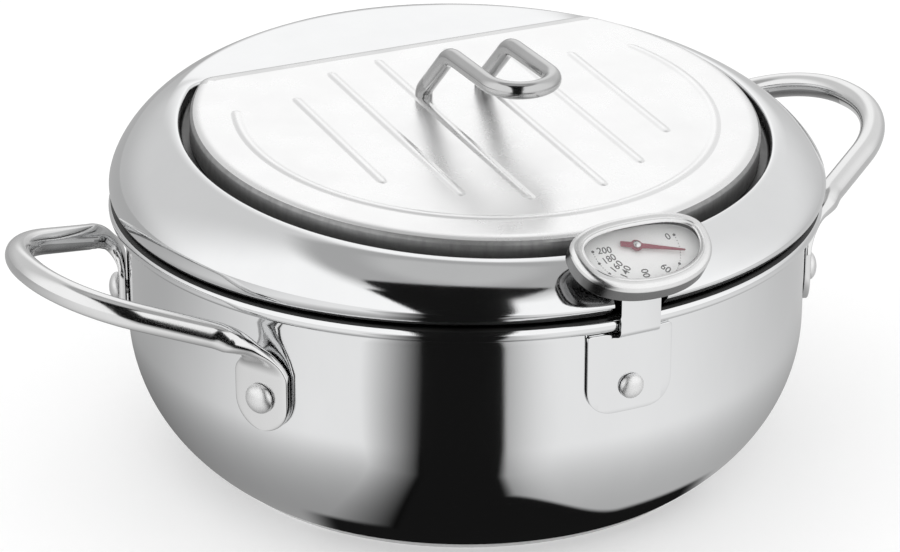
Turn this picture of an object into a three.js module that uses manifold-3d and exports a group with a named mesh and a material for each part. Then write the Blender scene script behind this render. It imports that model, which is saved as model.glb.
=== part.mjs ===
// A round steel tempura pot: a deep pot with two bent rod handles, a splash collar whose
// D-shaped mouth slopes down to the front, a ribbed draining lid with a wire handle, and
// a probe thermometer that hangs on a bracket over the front of the rim.
//
// Millimetres. The origin is the centre of the underside of the base. +Z is up, the
// thermometer stands at -Y and the two side handles reach out along -X and +X.

import * as THREE from 'three';
import { mergeVertices } from 'three/addons/utils/BufferGeometryUtils.js';
import Module from 'manifold-3d';

const wasm = await Module();
wasm.setup();

// Fits and facets

const seatGap = 0.3;
const runningGap = 0.3;
const cutOverrun = 5;
const weldTolerance = 1e-4;
const roundSteps = 48;
const smallRoundSteps = 12;
const holeSteps = 14;
const fineRoundSteps = 96;

// Pot body and its base

const wallRadius = 119;
const potSheet = 1.2;
const floorSheet = 1.5;
const baseRadius = 90.3;
const baseThickness = 2.8;
const baseEdgeBevel = 0.6;
const bowlCentreRadius = 50;
const bowlTopHeight = 52;
const bowlDepth = 63;
const bowlSteps = 6;
const wallHeight = 43.5;
const beadRadius = 2.6;
const beadReach = 5.5;
const beadNeck = 1;
const beadStartAngle = -135;
const beadSteps = 6;
const mouthBevel = 1.4;

// Splash collar. Heights are measured up from the top of the pot's rim, before the mouth
// is sloped.

const collarSheet = 1;
const collarSkirtDepth = 7.5;
const collarSkirtFit = 0.4;
const collarFootReach = 3.6;
const collarBulge = 5.6;
const collarTopHeight = 26.3;
const collarShoulderInset = 12.6;
const mouthShoulder = 4.4;
const mouthStraight = 66;
const mouthCorner = 11;
const mouthSteps = 32;
const mouthCornerSteps = 5;
const mouthSlope = 4.7;
const mouthShift = 5.6;
const gutterDepth = 5;
const ledgeWidth = 11;
const ledgeLip = 2;
const lipWidth = 3.4;
const lipRise = 0.4;
const lipLand = 0.2;
const notchWallLeft = 1.7;
const notchDepth = 40;

// Lid

const lidFit = 3.6;
const lidSheet = 0.9;
const lidProud = 4.5;
const lidEdgeRadius = 2.4;
const ribHalfWidth = 3;
const ribRise = 1.3;
const grooveHalfWidth = 2;
const ribInnerOffset = 13.6;
const arcRibInset = 15.9;
const ribOuterInset = 28.9;
const arcRibEndAngle = 22;
const ribSides = 8;
const ribEndSteps = 3;
const arcRibSteps = 18;
const ribInnerBackInset = 10.4;
const ribInnerFrontGap = 12.2;
const ribMiddleBackInset = 14.4;
const ribMiddleFrontGap = 15.5;
const ribOuterBackInset = 29.4;
const ribOuterFrontGap = 15.6;

// Lid handle

const wireRadius = 3;
const wireSpacing = 23;
const wireHeight = 24.7;
const wireFootY = 17.5;
const wireFootHeight = 2.5;
const wireKneeY = -1;
const wireReachY = -47.5;
const wireFootBend = 4;
const wireKneeBend = 7;
const wireEndBend = 10;
const wireSides = 8;
const wireSteps = 32;

// Side handles

const rodRadius = 4.5;
const handleAngle = 26;
const handleTurn = 4.2;
const handleOut = 46.5;
const handleHalfSpan = 27;
const handleCornerRadius = 40;
const handleElbowRadius = 14;
const handleBeadGap = 1;
const handleLeanRadius = 14;
const handleRise = 17.5;
const handleElbowDrop = 7.2;
const tabBelowWall = 2.5;
const tabLeanRise = 4;
const tabWidth = 21;
const tabThickness = 2.6;
const tabRivetRise = 11.8;
const tabFlatBeyondRivet = 1.1;
const tabBlendLength = 12.4;
const tabSquarenessShare = 2.4;
const elbowLength = 30.2;
const tabTipShares = [0.02, 0.12, 0.3, 0.6, 1];
const rodSides = 12;
const elbowSteps = 7;
const loopSteps = 15;
const pathDivisions = 400;

// Rivets

const handleRivetHead = 5.2;
const handleRivetRise = 2.9;
const handleRivetShank = 2.6;
const bracketRivetHead = 4.3;
const bracketRivetRise = 2.4;
const bracketRivetShank = 2.1;
const innerHeadThickness = 1.2;
const innerHeadOverShank = 2;
const innerHeadRelief = 0.3;
const rivetBrim = 0.4;
const domeSteps = 3;

// Thermometer bracket

const bracketSheet = 1.2;
const plateWidth = 31;
const plateTopDrop = 7.1;
const plateHeight = 28.4;
const plateCorner = 9;
const plateTopCorner = 1.5;
const plateCornerSteps = 4;
const plateTopCornerSteps = 2;
const plateRivetRise = 9;
const strapWidth = 14.4;
const strapBend = 1.2;
const strapStepHeight = 2;
const strapBeadGap = 0.8;
const strapSideGap = 2.5;
const tabBeyondPivot = 6;

// Thermometer. Its own axes lie at the pointer's pivot on the face of the dial plate,
// with z out of the dial, y up the dial's slope and x along the rim.

const dialLift = 56;
const probeCollarGap = 1.34;
const pivotRise = 15.38;
const caseHalfWidth = 23.6;
const caseUpper = 10.7;
const caseLower = 16;
const caseWidestY = -2;
const caseSheet = 0.8;
const caseFloorDepth = 5;
const caseWallTop = 2.4;
const caseUnderRadius = 3;
const caseSteps = 32;
const upperSquarenessShare = 2.6;
const lowerSquarenessShare = 2.2;
const dialThickness = 0.6;
const dialLedge = 1.4;
const lensThickness = 1.2;
const bezelSheet = 0.6;
const bezelSkirt = 2;
const bezelLip = 2.6;
const bezelRise = 1.1;
const bezelRadius = 1.8;
const stemRadius = 2.5;
const stemWall = 0.5;
const probeTipLift = 17.1;
const bushRadius = 4;
const bushLength = 5.4;
const plugLength = 4;
const plugRoundShare = 0.8;
const plugSpigot = 2.4;
const arborRadius = 0.6;
const arborLength = 80;
const arborFootGap = 0.4;
const arborFootLength = 1;
const bearingRadius = 2;
const bearingFlange = 3;
const pointerLength = 16.4;
const pointerTail = 5.4;
const pointerHalfWidth = 0.9;
const pointerTipHalfWidth = 0.25;
const pointerThickness = 0.4;
const pointerHeight = 0.7;
const pointerHubRadius = 2;
const pointerAngle = -18;
const hubRadius = 1.5;
const hubHeight = 0.7;
const coilGap = 0.375;
const coilStripWidth = 0.9;
const coilStripThickness = 0.35;
const coilTurns = 9;
const coilStepsPerTurn = 8;

// Materials

function steel(name, colour, roughness) {
  return new THREE.MeshStandardMaterial({ name, color: colour, roughness, metalness: 1 });
}

function plain(name, colour, roughness) {
  return new THREE.MeshStandardMaterial({ name, color: colour, roughness, metalness: 0 });
}

const polished = () => steel('polished_steel', 0xd9dbdc, 0.08);
const satin = () => steel('satin_steel', 0xc8cacb, 0.3);
const rivetSteel = () => steel('rivet_steel', 0xe2e3e3, 0.2);

// Small tools

const rad = THREE.MathUtils.degToRad;

function signedVolume(geometry) {
  const position = geometry.attributes.position;
  const index = geometry.index;
  const corners = [new THREE.Vector3(), new THREE.Vector3(), new THREE.Vector3()];
  let sum = 0;
  for (let face = 0; face < index.count; face += 3) {
    corners.forEach((corner, k) => corner.fromBufferAttribute(position, index.getX(face + k)));
    sum += corners[0].dot(corners[1].clone().cross(corners[2])) / 6;
  }
  return sum;
}

// One closed body with shared corners and its faces pointing out.
function closed(source) {
  const bare = source.clone();
  bare.deleteAttribute('normal');
  bare.deleteAttribute('uv');
  const body = mergeVertices(bare, weldTolerance);
  const kept = [];
  const index = body.index.array;
  for (let face = 0; face < index.length; face += 3) {
    const [a, b, c] = [index[face], index[face + 1], index[face + 2]];
    if (a !== b && b !== c && c !== a) kept.push(a, b, c);
  }
  body.setIndex(kept);
  if (signedVolume(body) < 0) {
    const turned = [];
    for (let face = 0; face < kept.length; face += 3) {
      turned.push(kept[face], kept[face + 2], kept[face + 1]);
    }
    body.setIndex(turned);
  }
  return body;
}

function solid(geometry) {
  const body = closed(geometry);
  return new wasm.Manifold(new wasm.Mesh({
    numProp: 3,
    vertProperties: new Float32Array(body.attributes.position.array),
    triVerts: new Uint32Array(body.index.array),
  }));
}

function surface(body) {
  const mesh = body.getMesh();
  const geometry = new THREE.BufferGeometry();
  geometry.setAttribute('position', new THREE.BufferAttribute(mesh.vertProperties, 3));
  geometry.setIndex(new THREE.BufferAttribute(mesh.triVerts, 1));
  return geometry;
}

function cut(body, ...tools) {
  return tools.reduce((rest, tool) => rest.subtract(tool), body);
}

function joined(...bodies) {
  return bodies.reduce((sum, body) => sum.add(body));
}

// A profile of [radius, height] pairs turned about the Z axis.
function turned(profile, steps = roundSteps) {
  const points = profile.map(([radius, height]) => new THREE.Vector2(radius, height));
  return new THREE.LatheGeometry(points, steps).rotateX(Math.PI / 2);
}

// A closed profile: the last point meets the first.
function turnedRing(profile, steps) {
  return turned([...profile, profile[0]], steps);
}

// A skin over rings of points, closed at both ends by a fan, or run round to its start.
function skinned(rings, runsRound = false) {
  const sides = rings[0].length;
  const corners = rings.flat();
  const faces = [];
  const spans = runsRound ? rings.length : rings.length - 1;
  for (let ring = 0; ring < spans; ring += 1) {
    const next = (ring + 1) % rings.length;
    for (let side = 0; side < sides; side += 1) {
      const a = ring * sides + side;
      const b = ring * sides + (side + 1) % sides;
      const c = next * sides + side;
      const d = next * sides + (side + 1) % sides;
      faces.push(a, b, c, b, d, c);
    }
  }
  if (!runsRound) {
    for (const ring of [0, rings.length - 1]) {
      const centre = new THREE.Vector3();
      rings[ring].forEach((point) => centre.add(point));
      corners.push(centre.divideScalar(sides));
      for (let side = 0; side < sides; side += 1) {
        const a = ring * sides + side;
        const b = ring * sides + (side + 1) % sides;
        faces.push(...(ring === 0 ? [b, a, corners.length - 1] : [a, b, corners.length - 1]));
      }
    }
  }
  const geometry = new THREE.BufferGeometry().setFromPoints(corners);
  geometry.setIndex(faces);
  return geometry;
}

// An outline grown by each offset and set at each height: [offset, height] pairs.
function stacked(outline, levels) {
  return skinned(levels.map(([offset, height]) => outline(offset)
    .map((point) => new THREE.Vector3(point.x, point.y, height))));
}

function arcPoints(centreX, centreY, radius, from, to, steps) {
  const points = [];
  for (let step = 0; step <= steps; step += 1) {
    const angle = THREE.MathUtils.lerp(from, to, step / steps);
    points.push(new THREE.Vector2(
      centreX + radius * Math.cos(angle),
      centreY + radius * Math.sin(angle),
    ));
  }
  return points;
}

// A quarter of an oval from its side to its top, as [distance in, distance down] pairs.
function quarterRound(width, height, steps) {
  return Array.from({ length: steps + 1 }, (_, step) => {
    const angle = (Math.PI / 2) * step / steps;
    return [width * (1 - Math.cos(angle)), height * (1 - Math.sin(angle))];
  });
}

// A straight-sided path through corners, each rounded by its own radius.
function roundedPath(corners, radii) {
  const path = new THREE.CurvePath();
  let from = corners[0];
  for (let k = 1; k < corners.length - 1; k += 1) {
    const back = corners[k - 1].clone().sub(corners[k]).normalize();
    const ahead = corners[k + 1].clone().sub(corners[k]).normalize();
    const halfAngle = back.angleTo(ahead) / 2;
    const reach = radii[k - 1] / Math.tan(halfAngle);
    const start = corners[k].clone().addScaledVector(back, reach);
    const end = corners[k].clone().addScaledVector(ahead, reach);
    const pull = reach * roundingShare(Math.PI - 2 * halfAngle, halfAngle);
    path.add(new THREE.LineCurve3(from, start));
    path.add(new THREE.CubicBezierCurve3(
      start,
      start.clone().addScaledVector(back, -pull),
      end.clone().addScaledVector(ahead, -pull),
      end,
    ));
    from = end;
  }
  path.add(new THREE.LineCurve3(from, corners[corners.length - 1]));
  return path;
}

// How far along its tangent a cubic's handle lies, so that the cubic follows an arc.
function roundingShare(turn, halfAngle) {
  return (4 / 3) * Math.tan(turn / 4) * Math.tan(halfAngle);
}

// Pot body

function bowlPoint(sheet, angle) {
  const reach = wallRadius - sheet - bowlCentreRadius;
  return [
    bowlCentreRadius + reach * Math.cos(angle),
    bowlTopHeight - (bowlDepth - sheet) * Math.sin(angle),
  ];
}

function bowlCurve(sheet, floorHeight) {
  const last = Math.asin((bowlTopHeight - floorHeight) / (bowlDepth - sheet));
  const points = [];
  for (let step = 0; step <= bowlSteps; step += 1) {
    points.push(bowlPoint(sheet, last * (1 - step / bowlSteps)));
  }
  return points;
}

const rimHeight = bowlTopHeight + wallHeight;
const floorHeight = baseThickness + seatGap;
const beadCentreRadius = wallRadius + beadReach - beadRadius;
const beadCentreHeight = rimHeight - beadRadius;

function beadCurve() {
  const start = rad(beadStartAngle);
  return arcPoints(beadCentreRadius, beadCentreHeight, beadRadius, start, Math.PI / 2, beadSteps)
    .map((point) => [point.x, point.y]);
}

const tabBottom = bowlTopHeight - tabBelowWall;
const tabRivetHeight = tabBottom + tabRivetRise;
const tabTop = tabRivetHeight + handleRivetHead + tabLeanRise;
const plateTop = rimHeight - plateTopDrop;
const plateBottom = plateTop - plateHeight;
const plateRivetHeight = plateBottom + plateRivetRise;

const handleAzimuths = {
  handle_rivet_left_front: 180 + handleTurn + handleAngle,
  handle_rivet_left_rear: 180 + handleTurn - handleAngle,
  handle_rivet_right_rear: handleTurn + handleAngle,
  handle_rivet_right_front: handleTurn - handleAngle,
};
const frontAzimuth = -90;

// A hole through the wall and whatever is riveted to it, along the pot's radius.
function rivetHole(shank, azimuth, height) {
  const radius = shank + runningGap;
  const inside = wallRadius - potSheet - cutOverrun;
  const outside = wallRadius + tabThickness + cutOverrun;
  const rod = turned([[0, inside], [radius, inside], [radius, outside], [0, outside]], holeSteps);
  return solid(rod.rotateY(Math.PI / 2).rotateZ(rad(azimuth)).translate(0, 0, height));
}

function potBody() {
  const inner = bowlCurve(potSheet, floorHeight + floorSheet).reverse();
  const profile = [
    [0, floorHeight],
    ...bowlCurve(0, floorHeight),
    [wallRadius, beadCentreHeight - beadRadius - beadNeck],
    ...beadCurve(),
    [wallRadius - potSheet + mouthBevel, rimHeight],
    [wallRadius - potSheet, rimHeight - mouthBevel],
    ...inner,
    [0, floorHeight + floorSheet],
  ];
  const holes = Object.values(handleAzimuths)
    .map((azimuth) => rivetHole(handleRivetShank, azimuth, tabRivetHeight));
  holes.push(rivetHole(bracketRivetShank, frontAzimuth, plateRivetHeight));
  return surface(cut(solid(turned(profile)), ...holes));
}

function basePlate() {
  return turned([
    [0, 0],
    [baseRadius - baseEdgeBevel, 0],
    [baseRadius, baseEdgeBevel],
    [baseRadius, baseThickness],
    [0, baseThickness],
  ]);
}

// The D-shaped mouth: an arc closed by a straight edge at the back
const collarShoulderRadius = wallRadius - collarShoulderInset;
const mouthRadius = collarShoulderRadius - mouthShoulder;

function mouthOutline(offset) {
  const radius = mouthRadius + offset;
  const corner = mouthCorner + offset;
  const straight = mouthStraight + offset;
  const cornerY = straight - corner;
  const cornerX = Math.sqrt((radius - corner) ** 2 - cornerY ** 2);
  const meets = Math.atan2(cornerY, cornerX);
  return [
    ...arcPoints(0, 0, radius, Math.PI - meets, 2 * Math.PI + meets, mouthSteps),
    ...arcPoints(cornerX, cornerY, corner, meets, Math.PI / 2, mouthCornerSteps).slice(1),
    ...arcPoints(-cornerX, cornerY, corner, Math.PI / 2, Math.PI - meets, mouthCornerSteps)
      .slice(0, -1),
  ];
}

// The collar is shaped level and then sloped: nothing moves at the rim, the mouth turns
// as one about the centre of the rim, and the dome between them blends from one to the
// other.
const collarFloor = collarTopHeight - gutterDepth;

function slopeShare(height) {
  return THREE.MathUtils.smoothstep(height, 0, collarFloor - collarSheet);
}

function sloped(geometry) {
  const position = geometry.attributes.position;
  for (let k = 0; k < position.count; k += 1) {
    const height = position.getZ(k);
    const share = slopeShare(height);
    const turn = rad(mouthSlope) * share;
    const y = position.getY(k);
    position.setY(k, y * Math.cos(turn) - height * Math.sin(turn) - mouthShift * share);
    position.setZ(k, rimHeight + y * Math.sin(turn) + height * Math.cos(turn));
  }
  return geometry;
}

// The dome's outer line from foot to shoulder, as shares of its reach beyond the
// shoulder and of its height.
const domeShares = [
  [0.9, 0.04],
  [1, 0.2],
  [0.985, 0.33],
  [0.89, 0.49],
  [0.705, 0.65],
  [0.46, 0.79],
  [0.21, 0.9],
  [0.06, 0.96],
];

function domeLine(sheet) {
  const reach = wallRadius + collarBulge - collarShoulderRadius;
  return domeShares.map(([outShare, upShare], k) => {
    const before = domeShares[Math.max(k - 1, 0)];
    const after = domeShares[Math.min(k + 1, domeShares.length - 1)];
    const out = (after[1] - before[1]) * collarTopHeight;
    const up = (before[0] - after[0]) * reach;
    const length = Math.hypot(out, up);
    return [
      collarShoulderRadius + outShare * reach - sheet * out / length,
      upShare * collarTopHeight - sheet * up / length,
    ];
  });
}

function splashCollar() {
  const skirtRadius = wallRadius - potSheet - collarSkirtFit;
  const footRadius = skirtRadius + collarFootReach;
  const dome = solid(turned([
    [0, collarTopHeight],
    ...domeLine(0).reverse(),
    [footRadius, seatGap],
    [skirtRadius, seatGap],
    [skirtRadius, -collarSkirtDepth],
    [skirtRadius - collarSheet, -collarSkirtDepth],
    [skirtRadius - collarSheet, seatGap + collarSheet],
    ...domeLine(collarSheet).slice(1),
    [0, collarTopHeight - collarSheet],
  ]));
  const lipTop = collarTopHeight + lipRise;
  const lipRound = (lipWidth - lipLand) / 2;
  const lipOuter = quarterRound(lipRound, lipRise + collarSheet / 2, 2);
  const lipInner = quarterRound(lipRound, lipRound, 2);
  const gutter = solid(stacked(mouthOutline, [
    [collarSheet, collarFloor - collarSheet],
    [collarSheet, collarTopHeight - collarSheet],
    ...lipOuter.map(([inward, down]) => [lipWidth - inward, lipTop - down]),
  ]));
  const lip = solid(stacked(mouthOutline, [
    [collarSheet - ledgeWidth, collarFloor - collarSheet - ledgeLip],
    [collarSheet - ledgeWidth, collarFloor - collarSheet / 2],
  ]));
  const well = solid(stacked(mouthOutline, [
    [0, collarFloor],
    ...lipInner.map(([outward, down]) => [outward, lipTop - down]),
    [lipRound, lipTop + cutOverrun],
  ]));
  const through = solid(stacked(mouthOutline, [
    [-ledgeWidth, -cutOverrun],
    [-ledgeWidth, collarFloor + cutOverrun],
  ]));
  const level = cut(joined(dome, gutter, lip), well, through);
  return surface(cut(solid(sloped(surface(level))), probeNotch()));
}

// A notch through the front of the collar, from its bottom edge up to the wall of the
// gutter, lets the bracket and the probe through.
function probeNotch() {
  const halfWidth = strapWidth / 2 + strapSideGap;
  const wallY = -(mouthRadius + collarSheet + mouthShift);
  const backY = wallY - collarFloor * Math.sin(rad(mouthSlope)) + collarSheet / 2;
  const box = new THREE.BoxGeometry(2 * halfWidth, 2 * notchDepth, 2 * notchDepth);
  box.translate(0, backY - notchWallLeft + collarSheet - notchDepth, rimHeight);
  return solid(box);
}

// Lid

const lidSkirtBottom = collarFloor + seatGap;
const lidTop = collarTopHeight + lidProud;

function lidOutline(offset) {
  return mouthOutline(offset - lidFit);
}

// A ridge along a curve: an oval section that closes in a round end at each end.
function ridge(curve, middleSteps, halfWidth, halfHeight, height) {
  const length = curve.getLength();
  const places = [];
  for (let step = 1; step <= ribEndSteps; step += 1) {
    const angle = (Math.PI / 2) * step / ribEndSteps;
    places.push([halfWidth * (1 - Math.cos(angle)), Math.sin(angle)]);
  }
  const ends = [...places].reverse().map(([along, size]) => [length - along, size]);
  for (let step = 1; step < middleSteps; step += 1) {
    const along = THREE.MathUtils.lerp(halfWidth, length - halfWidth, step / middleSteps);
    places.push([along, 1]);
  }
  places.push(...ends);
  const rings = places.map(([along, size]) => {
    const centre = curve.getPointAt(along / length);
    const tangent = curve.getTangentAt(along / length);
    const side = new THREE.Vector3(-tangent.y, tangent.x, 0).normalize();
    return Array.from({ length: ribSides }, (_, k) => {
      const angle = 2 * Math.PI * k / ribSides;
      const point = centre.clone().addScaledVector(side, size * halfWidth * Math.cos(angle));
      point.z = height + size * halfHeight * Math.sin(angle);
      return point;
    });
  });
  return solid(skinned(rings));
}

// The straight ribs: how far each lies from the middle, and how far it stops short of the
// lid's straight edge at the back and of the curved rib at the front.
const arcRibRadius = mouthRadius - lidFit - arcRibInset;
const ribPitch = (arcRibRadius - ribOuterInset - ribInnerOffset) / 2;
const straightRibs = [
  { x: ribInnerOffset, inset: ribInnerBackInset, gap: ribInnerFrontGap },
  { x: ribInnerOffset + ribPitch, inset: ribMiddleBackInset, gap: ribMiddleFrontGap },
  { x: ribInnerOffset + 2 * ribPitch, inset: ribOuterBackInset, gap: ribOuterFrontGap },
];

function ribCurves() {
  const flat = (x, y) => new THREE.Vector3(x, y, 0);
  const curves = [-1, 1].flatMap((side) => straightRibs.map(({ x, inset, gap }) => {
    const back = mouthStraight - lidFit - inset;
    const front = -Math.sqrt((arcRibRadius - gap) ** 2 - x ** 2);
    return {
      curve: new THREE.LineCurve3(flat(side * x, front), flat(side * x, back)),
      steps: 1,
    };
  }));
  const ends = rad(arcRibEndAngle);
  const arc = arcPoints(0, 0, arcRibRadius, Math.PI - ends, 2 * Math.PI + ends, arcRibSteps)
    .map((point) => flat(point.x, point.y));
  curves.push({ curve: new THREE.CatmullRomCurve3(arc), steps: arcRibSteps });
  return curves;
}

function lidRidges(growth) {
  return ribCurves().map(({ curve, steps }) => ridge(
    curve,
    steps,
    ribHalfWidth + growth,
    ribRise + growth,
    lidTop,
  ));
}

function lid() {
  const edge = quarterRound(lidEdgeRadius, lidEdgeRadius, 2);
  const shell = solid(stacked(lidOutline, [
    [0, lidSkirtBottom],
    ...edge.map(([inward, down]) => [-inward, lidTop - down]),
  ]));
  const hollow = solid(stacked(lidOutline, [
    [-lidSheet, lidSkirtBottom - cutOverrun],
    [-lidSheet, lidTop - lidEdgeRadius],
    [-lidEdgeRadius, lidTop - lidSheet],
  ]));
  const grooves = ribCurves().map(({ curve, steps }) => ridge(
    curve,
    steps,
    grooveHalfWidth,
    grooveHalfWidth,
    lidTop + ribRise - lidSheet - grooveHalfWidth,
  ));
  const body = cut(joined(shell, ...lidRidges(0)), hollow, ...grooves);
  return sloped(surface(body));
}

// Rods and wires

// A round rod along a path, with flat ends.
function rod(path, radius, steps, sides) {
  const frames = path.computeFrenetFrames(steps, false);
  const rings = [];
  for (let step = 0; step <= steps; step += 1) {
    const centre = path.getPointAt(step / steps);
    rings.push(Array.from({ length: sides }, (_, k) => {
      const angle = 2 * Math.PI * k / sides;
      return centre.clone()
        .addScaledVector(frames.normals[step], radius * Math.cos(angle))
        .addScaledVector(frames.binormals[step], radius * Math.sin(angle));
    }));
  }
  return skinned(rings);
}

function lidHandle() {
  const half = wireSpacing / 2;
  const foot = lidTop + seatGap;
  const knee = lidTop + wireHeight;
  const corners = [
    new THREE.Vector3(-half, wireFootY, foot),
    new THREE.Vector3(-half, wireFootY, foot + wireFootHeight),
    new THREE.Vector3(-half, wireKneeY, knee),
    new THREE.Vector3(-half, wireReachY + wireRadius, knee),
  ];
  corners.push(...corners.map((corner) => new THREE.Vector3(half, corner.y, corner.z)).reverse());
  const radii = [wireFootBend, wireKneeBend, wireEndBend, wireEndBend, wireKneeBend, wireFootBend];
  const wire = solid(rod(roundedPath(corners, radii), wireRadius, wireSteps, wireSides));
  return sloped(surface(cut(wire, ...lidRidges(seatGap))));
}

// Side handles. Each is one rod, pressed flat at both ends into a tab that is riveted to
// the wall. The path is the line of the rod's wall side, and the rod stands out from it by
// half its own thickness, so the flattened ends lie on the wall.
const handleReach = wallRadius + handleOut;
const handleLean = beadReach + handleBeadGap;
const handleElbowHeight = rimHeight - handleElbowDrop;
const tabFlatLength = tabRivetRise + handleRivetHead + tabFlatBeyondRivet;

function footPoint(height, lean = 0) {
  const radius = wallRadius + seatGap + lean;
  const azimuth = rad(180 + handleAngle);
  return new THREE.Vector3(radius * Math.cos(azimuth), radius * Math.sin(azimuth), height);
}

function handlePath() {
  const rise = (x) => handleElbowHeight + (-x - wallRadius) * Math.tan(rad(handleRise));
  const elbow = footPoint(handleElbowHeight, handleLean);
  elbow.z = rise(elbow.x);
  const corner = new THREE.Vector3(-handleReach, -handleHalfSpan, rise(-handleReach));
  const front = [footPoint(tabBottom), footPoint(tabTop), elbow, corner];
  const rear = front.map((point) => new THREE.Vector3(point.x, -point.y, point.z)).reverse();
  const bends = [handleLeanRadius, handleElbowRadius, handleCornerRadius];
  const radii = [...bends, ...bends.slice().reverse()];
  return roundedPath([...front, ...rear], radii);
}

// Half the width and half the thickness of the rod at a length along it from its end.
function handleSection(along) {
  const blendEnd = tabFlatLength + tabBlendLength;
  const flat = 1 - THREE.MathUtils.smoothstep(along, tabFlatLength, blendEnd);
  const width = THREE.MathUtils.lerp(rodRadius, tabWidth / 2, flat);
  const tip = Math.min(along / (tabWidth / 2), 1);
  return {
    halfWidth: width * Math.sqrt(1 - (1 - tip) ** 2),
    halfThickness: THREE.MathUtils.lerp(rodRadius, tabThickness / 2, flat),
    squareness: THREE.MathUtils.lerp(1, tabSquarenessShare, flat),
  };
}

function handleStations(length) {
  const tip = tabWidth / 2;
  const start = tabTipShares.map((share) => share * tip);
  for (let step = 0; step <= elbowSteps; step += 1) {
    start.push(tabFlatLength + elbowLength * step / elbowSteps);
  }
  const end = start.map((along) => length - along).reverse();
  const last = start[start.length - 1];
  for (let step = 1; step < loopSteps; step += 1) {
    start.push(THREE.MathUtils.lerp(last, length - last, step / loopSteps));
  }
  return [...start, ...end];
}

function sideHandle() {
  const path = handlePath();
  path.arcLengthDivisions = pathDivisions;
  const length = path.getLength();
  const foot = footPoint(tabBottom);
  const azimuth = rad(180 + handleAngle);
  const toMiddle = foot.y / Math.cos(azimuth);
  const middle = new THREE.Vector3(foot.x + toMiddle * Math.sin(azimuth), 0, 0);
  const rings = handleStations(length).map((along) => {
    const wallPoint = path.getPointAt(along / length);
    const tangent = path.getTangentAt(along / length);
    const inward = middle.clone().sub(wallPoint).setZ(0);
    inward.addScaledVector(tangent, -inward.dot(tangent)).normalize();
    const outward = tangent.clone().cross(inward).normalize();
    const section = handleSection(Math.min(along, length - along));
    const centre = wallPoint.addScaledVector(outward, section.halfThickness);
    return Array.from({ length: rodSides }, (_, k) => {
      const angle = 2 * Math.PI * (k + 0.5) / rodSides;
      const across = squared(Math.cos(angle), section.squareness);
      const through = squared(Math.sin(angle), section.squareness);
      return centre.clone()
        .addScaledVector(inward, section.halfWidth * across)
        .addScaledVector(outward, section.halfThickness * through);
    });
  });
  const holes = [1, -1]
    .map((side) => rivetHole(handleRivetShank, 180 + side * handleAngle, tabRivetHeight));
  return surface(cut(solid(skinned(rings)), ...holes));
}

// A cosine or sine drawn towards the corner of its square.
function squared(value, squareness) {
  return Math.sign(value) * Math.abs(value) ** (1 / squareness);
}

// Rivets, along +X before they are set: a domed head outside, a flat one inside

function rivet(head, rise, shank, seatRadius, azimuth, height) {
  const inside = wallRadius - potSheet - seatGap - innerHeadRelief;
  const innerHead = shank + innerHeadOverShank;
  const top = seatRadius + rivetBrim + rise;
  const body = turned([
    [0, inside - innerHeadThickness],
    [innerHead, inside - innerHeadThickness],
    [innerHead, inside],
    [shank, inside],
    [shank, seatRadius],
    [head, seatRadius],
    ...quarterRound(head, rise, domeSteps).map(([inward, down]) => [head - inward, top - down]),
  ], smallRoundSteps);
  return body.rotateY(Math.PI / 2).rotateZ(rad(azimuth)).translate(0, 0, height);
}

// Thermometer bracket: a riveted plate with a strap that steps out over the rim's bead,
// rises behind the case and leans back under it

function plateShape() {
  const half = plateWidth / 2;
  const low = plateBottom + plateCorner;
  const high = plateTop - plateTopCorner;
  const top = half - plateTopCorner;
  return new THREE.Shape([
    ...arcPoints(plateCorner - half, low, plateCorner, -Math.PI, -Math.PI / 2, plateCornerSteps),
    ...arcPoints(half - plateCorner, low, plateCorner, -Math.PI / 2, 0, plateCornerSteps),
    ...arcPoints(top, high, plateTopCorner, 0, Math.PI / 2, plateTopCornerSteps),
    ...arcPoints(-top, high, plateTopCorner, Math.PI / 2, Math.PI, plateTopCornerSteps),
  ]);
}

// The stretch of sheet bent round the wall that lies inside an outline seen from the front.
function wallPatch(shape) {
  const inner = wallRadius + seatGap;
  const outer = inner + bracketSheet;
  const slab = new THREE.ExtrudeGeometry(shape, { depth: outer + cutOverrun, bevelEnabled: false });
  slab.rotateX(Math.PI / 2);
  const ring = turnedRing([
    [inner, plateBottom - cutOverrun],
    [outer, plateBottom - cutOverrun],
    [outer, plateTop + cutOverrun],
    [inner, plateTop + cutOverrun],
  ], fineRoundSteps);
  return solid(slab).intersect(solid(ring));
}

// The thermometer's place: its pivot, its lean and the point at a height over its dial.
const dialTurn = Math.PI / 2 - rad(dialLift);
const [pivotY, pivotZ] = pivotPlace();

// The probe passes close outside the lower edge of the gutter, at the front.
function pivotPlace() {
  const slope = rad(mouthSlope);
  const wall = mouthRadius + collarSheet;
  const height = collarFloor - collarSheet;
  const edgeY = -wall * Math.cos(slope) - height * Math.sin(slope) - mouthShift;
  const edgeZ = rimHeight - wall * Math.sin(slope) + height * Math.cos(slope);
  const out = stemRadius + probeCollarGap;
  return [
    edgeY - out * Math.cos(dialTurn) - pivotRise * Math.sin(dialTurn),
    edgeZ - out * Math.sin(dialTurn) + pivotRise * Math.cos(dialTurn),
  ];
}

function dialPoint(up, out) {
  return new THREE.Vector2(
    pivotY + up * Math.cos(dialTurn) - out * Math.sin(dialTurn),
    pivotZ + up * Math.sin(dialTurn) + out * Math.cos(dialTurn),
  );
}

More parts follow.
